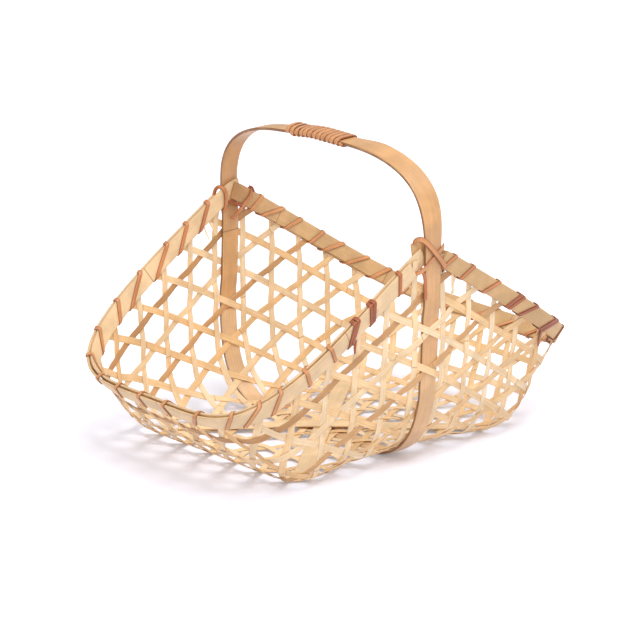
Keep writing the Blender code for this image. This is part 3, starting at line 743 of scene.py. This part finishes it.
def strip_line(seed, degrees):
    """Points, headings and lifts of a strip from rim to rim."""
    forward, backward = trace(seed, degrees, 1), trace(seed, degrees, -1)
    crossings = [(place, -heading) for place, heading in reversed(backward[1:])] + forward
    sides = np.array([side_of(*crossing) for crossing in crossings])
    last = len(crossings) - 1
    points, headings, runs = [], [], []
    for k, (place, heading) in enumerate(crossings):
        low = -(STEP + STRIP_TAIL) if k == 0 else 0
        high = STEP + STRIP_TAIL if k == last else STEP
        count = round((high - low) / (STEP / PARTS_PER_STEP))
        steps = low + (high - low) * np.arange(count + (k == last)) / count
        spots, ways = walk(place, heading, steps)
        points.append(spots), headings.append(ways), runs.append(k + steps / STEP)
    run = np.concatenate(runs)
    near = np.clip(np.floor(run).astype(int), 0, last)
    following = np.clip(near + 1, 0, last)
    share = smooth_step((run - near - HOLD / STEP) / (1 - 2 * HOLD / STEP))
    lift = STRIP_LIFT * (sides[near] + (sides[following] - sides[near]) * share)
    return np.concatenate(points), np.concatenate(headings), lift


# %% [markdown]
# The band is stiff and the strips are not. Where the band slips inside a crossing, the
# strips round it bulge outwards, and where it runs outside they give way inwards. Both
# numbers come from one table of how far the band stands off, and every strip near the
# band reads it, so that none of them meet.

# %% Make room for the band
BAND_INSIDE_NEAR, BAND_INSIDE_FAR = (11, 13), (13, 15)
BAND_STAND_OUTSIDE, BAND_STAND_INSIDE = 0.0013, -0.0002
BAND_HOLD = (BAND_WIDTH / 2 * TAN30 + STRIP_WIDTH / 2 / COS30) / STEP
BAND_PUSH_REACH = 0.024


def band_stand(steps, far):
    """How far the band stands off the middle of the weave, and the push on the strips,
    at places up one side that are counted in steps of the weave."""
    inside = BAND_INSIDE_FAR if far else BAND_INSIDE_NEAR
    rows = [(0, BAND_LIFT, 0), (BASE_HALF_STEPS - 0.5, BAND_LIFT, 0)]
    for crossing in range(BASE_HALF_STEPS + 1, TOP_STEPS, 2):
        stand_off = BAND_STAND_INSIDE if crossing in inside else BAND_STAND_OUTSIDE
        push = stand_off + BAND_LIFT * (1 if crossing in inside else -1)
        rows += [(crossing - BAND_HOLD, stand_off, push), (crossing + BAND_HOLD, stand_off, push)]
    rows += [(TOP_STEPS - BAND_HOLD, BAND_LIFT, 0), (TOP_STEPS + 1, BAND_LIFT, 0)]
    table = np.array(rows)
    return smooth_between(steps, table[:, 0], table[:, 1:])


def band_push(points):
    """How far strips at points of the sheet give way to the band."""
    across, steps = np.abs(points[:, 0]), np.abs(points[:, 1]) / STEP
    push = np.where(points[:, 1] > 0, band_stand(steps, True)[1], band_stand(steps, False)[1])
    return push * smooth_step((BAND_PUSH_REACH - across) / (BAND_PUSH_REACH - BAND_WIDTH / 2))


# %% Weave the strips
chance = random.Random(7)
STRIP_RINGS_APART, SLAT_RINGS_APART = 0.24, 0.17
RINGS_PER_LENGTH, RING_SPREAD = 8, (0.7, 1.3)
# A strip wanders a little sideways, in long waves, and isn't split to an even thickness.
DRIFT, DRIFT_PHASES, DRIFT_STEPS, GIRTHS = 0.00025, (0, 6), (4, 7), (0.94, 1.03)
UPRIGHT_TONES, SLANT_TONES = (0.0, 0.25), (0.1, 0.6)
RING_TONES = {"left": (0.8, 0.15, 0.88), "right": (0.3, 0.1, 0.5)}
SLANT_HALF = (BASE_HALF_PITCHES + BASE_HALF_STEPS) // 2
HALVES = ((-1, "left"), (1, "right"))


def culm_nodes(spacing):
    """Rings of the culm that a length of bamboo was split from."""
    gaps = [chance.uniform(*RING_SPREAD) * spacing for _ in range(RINGS_PER_LENGTH)]
    return np.cumsum(gaps) - spacing / 2


def strip_path(seed, degrees, tone):
    points, headings, lift = strip_line(seed, degrees)
    places, along, facing = frames(points, headings)
    run = np.arange(len(points)) / PARTS_PER_STEP
    phase, period = chance.uniform(*DRIFT_PHASES), chance.uniform(*DRIFT_STEPS)
    drift = DRIFT * np.sin(run * 2 * math.pi / period + phase)
    lift = lift + band_push(points)
    places = places + lift[:, None] * facing + drift[:, None] * np.cross(facing, along)
    return path(places, facing, tone, chance.uniform(*GIRTHS), start=chance.uniform(0, 1),
                nodes=culm_nodes(STRIP_RINGS_APART))


def woven(word, paths):
    """The strips of one kind as one piece, which stands for all their solids."""
    swept(f"woven_{word}_strips", STRIP, paths,
          *[f"{word}_strip_{k + 1}" for k in range(len(paths))])


woven("upright", [strip_path(((k + 0.5) * PITCH, STEP / 2), 90, chance.uniform(*UPRIGHT_TONES))
                  for k in range(-BASE_HALF_PITCHES, BASE_HALF_PITCHES)])
for degrees, word in ((30, "rising"), (150, "falling")):
    woven(word, [strip_path((0, (2 * k + 1) * STEP), degrees, chance.uniform(*SLANT_TONES))
                 for k in range(-SLANT_HALF, SLANT_HALF)])
for side_x, word in HALVES:
    seeds = [(side_x * (BASE_HALF[0] + (k + 0.5) * PITCH), STEP / 2) for k in range(END_RINGS)]
    woven(f"{word}_ring", [strip_path(seed, 90, tone)
                           for seed, tone in zip(seeds, RING_TONES[word])])

# %% [markdown]
# ## The rim
# Two slats to each half of the rim, one outside and one inside, clamp the ends of the
# strips. A slat is one length of planed bamboo that bends round the end of the basket and
# twists with its wall. The outer slats stop at the band, the inner ones run on behind it
# and overlap, the right one over the left one. Their free ends bend down a little.

# %% Directions round the rim
RIM_REACH = STEP / 8


def rim_place(around, side_x):
    far = around <= QUARTER_ARC
    quarter = np.where(far, around, 2 * QUARTER_ARC - around)
    ones = np.ones(len(quarter))
    sign = np.stack([side_x * ones, np.where(far, 1, -1), ones], axis=1)
    return rim_quarter(quarter) * sign, quarter, sign


def rim_frames(around, side_x):
    """Place, outward and upward direction on half of the rim. The distance starts at
    the top on the far side and runs over the low end to the near side."""
    place, quarter, sign = rim_place(around, side_x)
    on_side = np.column_stack([quarter * COS30, np.full(len(quarter), BASE_HALF[1])])
    on_end = np.column_stack([np.full(len(quarter), BASE_HALF[0]),
                              np.minimum(QUARTER_ARC - quarter, BASE_HALF[1])])
    curve = wall_curves(np.where((quarter <= SIDE_ARC)[:, None], on_side, on_end), quarter)
    rise = (curve[:, -1] - curve[:, -2]) * sign
    along = unit(rim_place(around + RIM_REACH, side_x)[0]
                 - rim_place(around - RIM_REACH, side_x)[0])
    up = unit(rise - along * (rise * along).sum(axis=1, keepdims=True))
    return place, np.cross(along, up) * -side_x, up


# %% Bend the slats
SLAT_LEAN = SLAT_HEIGHT / 2 * math.sin(math.atan2(RIM_TOP - RIM_LOW, RIM_HALF[0]))
OUTER_SLAT_END = BAND_WIDTH / 2 + GAP + SLAT_LEAN
SLATS = ((SLAT_LIFT, OUTER_SLAT_END, "outer"), (-SLAT_LIFT, INNER_SLAT_END, "inner"))
SHORTER_END = {("left", "outer"): 0.005}     # it stops this much earlier on the near side
# The right slats turn browner towards their far end by the band: painted shade.
SLAT_TONE, PAINTED_SHADE_END, PAINTED_SHADE_PLACES = {"left": 0.0, "right": 0.78}, {"left": 0, "right": 0.22}, 24
# How far each inner slat runs on past its far and its near end, and how fast it falls
# there, per metre.
RUN_ON = {"left": (0.0135, 0.0001), "right": (0.006, 0.0215)}
RUN_ON_FALL, RUN_ON_PLACES, RUN_ON_FIRST = 16.0, 8, 0.1
OVERLAP_STEP, OVERLAP_FLAT, OVERLAP_REACH = SLAT_THICKNESS + CLOSE, 0.005, 0.02
SLAT_PLACES = 180


def run_on(places, outward, far, near):
    """The same line, carried on past its two ends, where it bends down."""
    down, shares = np.array([0, 0, RUN_ON_FALL]), np.linspace(1, RUN_ON_FIRST, RUN_ON_PLACES)
    first, last = unit(places[0] - places[1]), unit(places[-1] - places[-2])
    before = shares[:, None] * far
    after = np.linspace(RUN_ON_FIRST, 1, RUN_ON_PLACES)[:, None] * near
    return (np.concatenate([places[0] + before * first - before ** 2 * down, places,
                            places[-1] + after * last - after ** 2 * down]),
            np.concatenate([np.repeat(outward[:1], RUN_ON_PLACES, axis=0), outward,
                            np.repeat(outward[-1:], RUN_ON_PLACES, axis=0)]))


for side_x, word in HALVES:
    for lift, end, layer in SLATS:
        start = np.interp(end, RIM_POINTS[:, 0], RIM_SHARES) * QUARTER_ARC
        stop = 2 * QUARTER_ARC - start - SHORTER_END.get((word, layer), 0)
        marks = np.linspace(start, stop, SLAT_PLACES)
        place, outward, _ = rim_frames(marks, side_x)
        off = np.full(SLAT_PLACES, lift)
        if (word, layer) == ("right", "inner"):
            from_end = np.minimum(marks - marks[0], marks[-1] - marks)
            off = off - OVERLAP_STEP * smooth_step((OVERLAP_REACH - from_end)
                                                   / (OVERLAP_REACH - OVERLAP_FLAT))
        place = place + off[:, None] * outward
        if layer == "inner":
            place, outward = run_on(place, outward, *RUN_ON[word])
        painted_shade = PAINTED_SHADE_END[word] * smooth_step(1 - np.arange(len(place)) / PAINTED_SHADE_PLACES)
        line = path(place, outward * math.copysign(1, lift), SLAT_TONE[word] + painted_shade,
                    start=chance.uniform(0, 1), nodes=culm_nodes(SLAT_RINGS_APART))
        swept(f"{layer}_slat_{word}", SLAT, [line], f"rim_{layer}_{word}")

# %% [markdown]
# ## The band
# One band carries the load. It passes under the base, comes up both sides, slips inside
# two of the slanted crossings on its way up each, and closes over the top as the handle.
# Its joint lies under the base, where nobody sees it. The arch isn't even: its far
# shoulder hangs a little, its near one stands up, is a little wider and has twisted
# towards the left end.

# %% Bend the band
BAND_SPACING, BAND_EASINGS, SIDE_PARTS, ARCH_SAMPLES = 0.002, 3, 8, 4001
BAND_NEAR_SHIFT = 0.002       # its near side leans this far to the right
# The rings of its culm, by side and height, and the tones of the stretches that start
# at the joint, run up the far side and come down the near one. The stretch below the lower
# far ring is painted paler, as painted light against the shade low on the far side, the
# stretch below the lower near ring is paler too, and the darker stretch between the far
# rings is the band's own colour.
BAND_NODES = ((1, 14.87), (1, 10.74), (-1, 12.78), (-1, 10.86))
BAND_TONES_AND_PAINTED_LIGHT = (0.05, 0.95, 0.5, 0.25)
ARCH_SAG, ARCH_RISE, ARCH_TWIST, ARCH_WIDER, FAR_WIDER = 0.003, 0.002, 0.17, 0.12, 0.4
SHOULDER_FADE, FAR_SHOULDER, NEAR_SHOULDER = 0.04, 0.005, 0.02


def band_side(sign):
    """Points of the band's middle from under the base up to the rim."""
    steps = np.linspace(0, TOP_STEPS, SIDE_PARTS * TOP_STEPS)
    points = np.column_stack([np.zeros(len(steps)), sign * steps * STEP])
    place, _, facing = frames(points, np.tile([0.0, 1.0], (len(steps), 1)))
    return place + band_stand(steps, sign > 0)[0][:, None] * facing


turn = np.linspace(0, math.pi, ARCH_SAMPLES)[1:-1]
y = ARCH_HALF_WIDTH * np.sign(np.cos(turn)) * np.abs(np.cos(turn)) ** (2 / ARCH_POWER)
share = np.minimum(np.abs(y) / ARCH_HALF_WIDTH, 1)
z = RIM_TOP + (HANDLE_TOP - RIM_TOP) * (1 - share ** ARCH_POWER) ** (1 / ARCH_POWER)
near_side, far_side = band_side(-1), band_side(1)
hoop = np.concatenate([far_side, np.column_stack([0 * y, y, z]), near_side[::-1]])
hoop = even(hoop, BAND_SPACING)[:-1]
for _ in range(BAND_EASINGS):
    hoop = (np.roll(hoop, 1, axis=0) + 2 * hoop + np.roll(hoop, -1, axis=0)) / 4
hoop[:, 0] += (BAND_NEAR_SHIFT * smooth_step(0.5 - hoop[:, 1] / RIM_HALF[1] / 2)
               * smooth_step(hoop[:, 2] / (RIM_TOP / 2)))
above = smooth_step((hoop[:, 2] - RIM_TOP) / SHOULDER_FADE)
to_far, to_near = (above * smooth_step((sign * hoop[:, 1] - start) / SHOULDER_FADE)
                   for sign, start in ((1, FAR_SHOULDER), (-1, NEAR_SHOULDER)))
hoop[:, 2] += ARCH_RISE * to_near - ARCH_SAG * to_far
hoop_ahead = unit(np.roll(hoop, -1, axis=0) - np.roll(hoop, 1, axis=0))
hoop_out = np.column_stack([0 * hoop[:, 0], hoop_ahead[:, 2], -hoop_ahead[:, 1]])
HOOP_RUN = run_along(hoop)

rings = [HOOP_RUN[np.linalg.norm(hoop - eased([[0, sign * steps * STEP]]), axis=1).argmin()]
         for sign, steps in BAND_NODES]
tone = np.select([HOOP_RUN < rings[k] for k in (1, 0, 3)], BAND_TONES_AND_PAINTED_LIGHT[:3], BAND_TONES_AND_PAINTED_LIGHT[3])
wider = 1 + ARCH_WIDER * (above - (1 - FAR_WIDER) * to_far)
band_path = path(hoop, hoop_out - ARCH_TWIST * to_near[:, None] * (1, 0, 0), tone, wider,
                 closed=True, nodes=rings)
swept("handle_band", BAND, [band_path], "handle_hoop")

# %% [markdown]
# ## The grip
# Split cane is wound round the top of the arch, turn beside turn, so that the band
# doesn't cut into the hand. It is wound over a little filling, so its section is a fat
# oval. Each turn slants across the top and comes back underneath, and the cane's first
# end is tucked under the turns at the far end, where it makes a bulge.

# %% Wind the grip
GRIP_NEAR, GRIP_FAR, GRIP_TURNS, GRIP_PARTS = 0.025, 0.043, 12, 40
GRIP_HALF, GRIP_POWER, GRIP_LEANS = (0.0029, 0.0098), 3.0, (0.0075, 0.003)
GRIP_BULGE, GRIP_BULGE_TURNS, GRIP_LOOSE, GRIP_TONE = 0.0016, 3.0, 0.0003, 0.2
ARCH_START = RIM_TOP + 0.02   # the band is surely in its arch above this

over_top = hoop[:, 2] > ARCH_START
start, end = np.interp((-GRIP_FAR, GRIP_NEAR), -hoop[over_top, 1], HOOP_RUN[over_top])
turns = np.arange(GRIP_TURNS * GRIP_PARTS + 1) * (1 / GRIP_PARTS)
thick, wide = np.sin(2 * math.pi * turns), -np.cos(2 * math.pi * turns)
size = (np.abs(thick) ** GRIP_POWER + np.abs(wide) ** GRIP_POWER) ** (-1 / GRIP_POWER)
fat = 1 + GRIP_BULGE / GRIP_HALF[0] * smooth_step(1 - turns / GRIP_BULGE_TURNS) * (thick > 0)
thick, wide = GRIP_HALF[0] * size * thick * fat, GRIP_HALF[1] * size * wide
lean = np.interp(turns, (0, GRIP_TURNS), GRIP_LEANS) * (0.5 - wide / GRIP_HALF[1] / 2)
run = start + (end - start - GRIP_LEANS[1]) * turns / GRIP_TURNS + lean
place, facing = read_off(run, HOOP_RUN, hoop), unit(read_off(run, HOOP_RUN, hoop_out))
thick, wide = thick[:, None], wide[:, None]
grip_out = (thick / GRIP_HALF[0]) ** 3 * facing + (wide / GRIP_HALF[1]) ** 3 * (1, 0, 0)
loose = [chance.uniform(-GRIP_LOOSE, GRIP_LOOSE) for _ in range(GRIP_TURNS + 2)]
loose = np.interp(turns, np.arange(GRIP_TURNS + 2), loose)[:, None]
place = place + thick * facing + wide * (1, 0, 0) + loose * (0, 1, 0)
swept("grip_winding", GRIP_CANE, [path(place, grip_out, GRIP_TONE)], "grip_binding")

# %% [markdown]
# ## Tying the rim
# One strand of split cane runs round each half of the rim, the right one from the near
# side. It comes out through an opening of the weave, leans up over both slats and runs
# along inside on its way down to the next opening. The places are uneven, because the
# maker takes the openings as they come.

# %% Tie the rim
# Where each turn starts below the outer slat and where it tops the rim, in millimetres
# from the rim's far top, and the tone of the cane there.
RIM_TIES = {
    "left": ((12.9, 20.9, 0.55), (39.4, 43.2, 0.5), (62, 63.9, 0.5), (88.5, 92.6, 0.45),
             (118, 120.1, 0.4), (131.5, 146.9, 0.4), (161, 172, 0.35), (190, 200, 0.2),
             (216.6, 221.8, 0.15), (242.6, 246, 0.15), (269.7, 272, 0.25), (295, 305, 0.2),
             (324, 334, 0.25), (337.5, 354, 0.25), (357, 370, 0.3), (388.5, 391, 0.4),
             (413, 414, 0.45), (426, 438, 0.85), (448, 455, 0.9), (477.7, 486, 0.7)),
    "right": ((500.5, 492.5, 0.45), (480.6, 473.2, 0.5), (455.3, 444.9, 0.5), (427, 420.5, 0.8),
              (412, 399.9, 0.9), (383.5, 372, 0.9), (357, 350, 0.8), (331, 323, 0.5),
              (302, 294, 0.3), (272, 265, 0.3), (243, 236, 0.3), (214, 207, 0.3),
              (189, 182, 0.3), (177, 162.6, 0.2), (149.5, 143, 0.15), (125, 119.1, 0.15),
              (101.5, 97.6, 0.15), (87, 73.6, 0.15), (59.5, 53.5, 0.2), (34.6, 29.1, 0.3))}
RIM_TIE_ENDS = {"left": 498.0, "right": 23.1}
DOUBLED_TIES, DOUBLE_STEP = {"left": (17, 18), "right": (3, 5)}, 0.0038
SLAT_CORNER, CORNER_POINTS, LOOP_POINTS, UNDER_SHARE = 0.0009, 9, 44, 0.04
# Loose ends: where each leaves the rim, how far it swings along and how far it hangs, in
# millimetres, and its tone.
CANE_TAILS = {"left": ((436, -7.5, 9, 0.9), (361, 10, 1.5, 0.4)),
              "right": ((379, -5, 12, 0.8),)}
END_PLACES, END_HELD, END_OFF, END_THINNER = 12, 0.002, 0.0022, 0.4


def loose_end(side_x, around, swing, drop, tone, side_out=1, girth=1.0):
    """A free end that hangs from under the slats."""
    t = np.linspace(0, 1, END_PLACES)
    place, normal, up = rim_frames(around / 1000 + swing / 1000 * t, side_x)
    low = -SLAT_HEIGHT / 2 + END_HELD - (drop / 1000 + END_HELD) * t
    off = side_out * (WEAVE_HALF + CANE_THICKNESS / 2 + CLOSE + END_OFF * t * t)
    places = place + low[:, None] * up + off[:, None] * normal
    return path(places, side_out * normal, tone, girth * (1 - END_THINNER * t * t))


def loop_round(half_thick, half_wide, corner):
    """Places (thick, wide), outward directions and shares of the way round a bar with
    eased corners, from the middle of its under face up its outer one."""
    angles = np.radians(np.linspace(-90, 270, 4 * CORNER_POINTS + 1))
    outward = np.stack([np.cos(angles), np.sin(angles)], axis=1)
    side = np.repeat([(1, -1), (1, 1), (-1, 1), (-1, -1)], CORNER_POINTS, axis=0)
    side = np.vstack([side, side[-1:]])
    places = side * (half_thick - corner, half_wide - corner) + outward * corner
    under = [[0, -half_wide, 0, -1]]
    table = np.vstack([under, np.hstack([places, outward]), under])
    run = run_along(table[:, :2])
    marks = np.linspace(0, run[-1], LOOP_POINTS, endpoint=False)
    table = read_off(marks, run, table)
    return table[:, :2], unit(table[:, 2:]), marks / run[-1]


def rim_turn(side_x, start, top, end):
    """One turn round the rim: up outside from its start, over the top, down inside."""
    off = CANE_THICKNESS / 2 + CLOSE
    half_thick, half_high = RIM_HALF_THICKNESS + off, SLAT_HEIGHT / 2 + off
    section, outward, shares = loop_round(half_thick, half_high, SLAT_CORNER + off)
    bar = np.cumsum([0, half_thick, 2 * half_high, 2 * half_thick, 2 * half_high, half_thick])
    under = (end - start) * UNDER_SHARE
    around = np.interp(shares * bar[-1], bar,
                       (start, start + under, top, top + under, end - under, end))
    place, normal, up = rim_frames(around, side_x)
    return (place + section[:, :1] * normal + section[:, 1:] * up,
            outward[:, :1] * normal + outward[:, 1:] * up)


for side_x, word in HALVES:
    starts, tops, tones = np.array(RIM_TIES[word]).T * [[0.001], [0.001], [1]]
    ends = np.append(starts[1:], RIM_TIE_ENDS[word] / 1000)
    rounds = [rim_turn(side_x, *spots) for spots in zip(starts, tops, ends)]
    places, facings = (np.concatenate(rows) for rows in zip(*rounds))
    lines = [path(places, facings, np.repeat(tones, LOOP_POINTS))]
    for k in DOUBLED_TIES[word]:
        start, top = starts[k] - side_x * DOUBLE_STEP, tops[k] - side_x * DOUBLE_STEP
        lines.append(path(*rim_turn(side_x, start, top, start), tones[k]))
    lines += [loose_end(side_x, *tail) for tail in CANE_TAILS[word]]
    swept(f"rim_cane_{word}", CANE, lines, f"rim_lashing_{word}")

# %% [markdown]
# A few strips have frayed where the slats pinch them, so thin slivers of bamboo hang loose
# under the rim near the handle.

# %% Frayed ends
# The half of the rim, the place round it, how far each swings along and how far it hangs,
# in millimetres, its tone, its side and its width as a share of a strip's.
FRAYED = ((-1, 27, 2, 13, 0.2, -1, 0.4), (-1, 33, 3, 11, 0.5, -1, 0.25),
          (1, 488, -7, 13, 0.1, 1, 0.6), (1, 484, -2, 15, 0.4, 1, 0.25))
swept("frayed_strip_ends", SLIVER, [loose_end(*sliver) for sliver in FRAYED])

# %% [markdown]
# ## Tying the handle
# Where the band meets the rim a strand crosses itself on the band's outer face. Each of
# its arms comes up inside, hooks over the rim beside the band, crosses the band and goes
# in through the weave below the rim on the other side. On the far side the strand runs
# along the inside, and a thin end stands up in a loop.

# %% Tie the handle
# Each arm's width, its tone and a few of its places in millimetres: the distance to the
# side, the height and the distance off the band.
NEAR_ARMS = (
    (0.0044, 0.35, (
        (-9.5, 168.0, -6.6), (-11.2, 175.0, -6.4), (-12.4, 179.4, -4.6), (-12.4, 181.8, -1.4),
        (-9.8, 182.0, 1.4), (-5.8, 178.2, 3.0), (1.3, 170.3, 3.2), (8.1, 162.6, 2.9),
        (11.6, 158.3, 2.2), (14.4, 154.3, 1.4), (15.5, 152.0, -3.0))),
    (0.0036, 0.35, (
        (17.0, 160.0, -6.6), (15.6, 167.5, -6.2), (14.4, 172.6, -2.4), (12.6, 172.8, 1.4),
        (9.1, 171.1, 1.9), (2.9, 166.2, 1.9), (-1.6, 163.3, 1.9), (-6.0, 159.6, 1.9),
        (-11.7, 156.4, 1.4), (-15.0, 154.5, -3.0))),
    (0.0030, 0.65, (
        (-11.0, 159.5, 1.0), (-9.2, 157.3, 1.2), (-7.2, 152.0, 1.9), (-6.4, 140.0, 1.9),
        (-6.4, 134.0, 1.8))))
FAR_ARMS = (
    (0.0036, 0.5, (
        (-13.4, 158.0, 2.4), (-13.0, 167.0, 2.5), (-12.2, 172.4, 1.0), (-11.4, 174.2, -2.2),
        (-9.6, 173.4, -5.4), (-7.4, 169.0, -6.0), (-7.1, 163.2, -6.0), (-7.9, 156.5, -5.6),
        (-8.4, 153.5, -3.0))),
    (0.0034, 0.45, (
        (20.0, 160.0, -1.0), (20.0, 168.0, -1.4), (19.0, 169.2, -4.0), (18.4, 166.0, -7.0),
        (16.6, 162.1, -7.3), (13.0, 158.7, -7.3), (9.0, 155.6, -7.0), (5.7, 152.4, -6.2),
        (1.6, 149.0, -4.6), (-1.0, 146.3, -3.0))),
    (0.0016, 0.95, (
        (14.6, 167.0, -5.4), (15.6, 169.0, -5.2), (17.5, 170.6, -5.5), (19.6, 168.8, -6.4),
        (19.8, 165.3, -7.6))),
    (0.0028, 0.9, (
        (-4.4, 161.0, -5.4), (-2.5, 160.1, -5.8), (0.8, 158.5, -7.0), (5.0, 156.1, -7.0),
        (9.5, 153.9, -6.6), (11.0, 152.4, -4.0))))
ARM_SPACING, ARM_EASINGS, HOOK_UP, FOOT_TOP = 0.0012, 5, 0.5, RIM_TOP + 0.03


def arm_of_lashing(side_y, spots):
    """One arm through its spots, with its bends eased and the flat of the cane turned to
    the band."""
    x, height, off = np.array(spots).T / 1000
    foot = np.hstack([hoop, hoop_out])[(hoop[:, 1] * side_y > 0) & (hoop[:, 2] < FOOT_TOP)]
    foot = foot[np.argsort(foot[:, 2])]
    foot = read_off(height, foot[:, 2], foot)
    out = foot[:, 3:]
    points = np.column_stack([x, foot[:, 1], height]) + off[:, None] * out
    ahead = np.gradient(points, axis=0)
    hooked = ((off < 0) & (side_y < 0))[:, None]
    facings = unit(np.cross(np.cross(ahead, out), ahead)) + hooked * (0, 0, HOOK_UP)
    rows = even(np.hstack([points, unit(facings)]), ARM_SPACING)
    for _ in range(ARM_EASINGS):
        rows[1:-1] = (rows[:-2] + 2 * rows[1:-1] + rows[2:]) / 4
    return rows[:, :3], unit(rows[:, 3:])


for side_y, word, shapes in ((-1, "near", NEAR_ARMS), (1, "far", FAR_ARMS)):
    arms = [path(*arm_of_lashing(side_y, spots), tone, width / CANE_WIDTH,
                 start=chance.uniform(0, 1)) for width, tone, spots in shapes]
    swept(f"handle_cane_{word}", CANE, arms, f"handle_lashing_{word}")

# %% [markdown]
# ## Braces under the load
# Two flat slats lie inside on the base, from corner to corner, one over the other in the
# middle. They spread the load from the corners to the band.

# %% Lay the braces
BRACE_END_SHARE, BRACE_PLACES = 0.84, 90
corner_run = np.linalg.norm(BASE_HALF)
run = np.linspace(-BRACE_END_SHARE, BRACE_END_SHARE, BRACE_PLACES) * corner_run
for sign, word in ((1, "lower"), (-1, "upper")):
    lift = WEAVE_HALF + CLOSE + BRACE_THICKNESS / 2
    if word == "upper":
        lift = lift + (BRACE_THICKNESS + CLOSE) * smooth_step(2 - np.abs(run) / (2 * BRACE_WIDTH))
    spots = run[:, None] * (BASE_HALF * (1, sign) / corner_run)
    places = np.column_stack([spots - (BASE_SHIFT, 0), base_height(spots) + lift])
    line = path(places, np.tile([0.0, 0.0, 1.0], (BRACE_PLACES, 1)), 0.0,
                nodes=culm_nodes(SLAT_RINGS_APART))
    swept(f"corner_brace_{word}", BRACE, [line], f"base_brace_{word}")
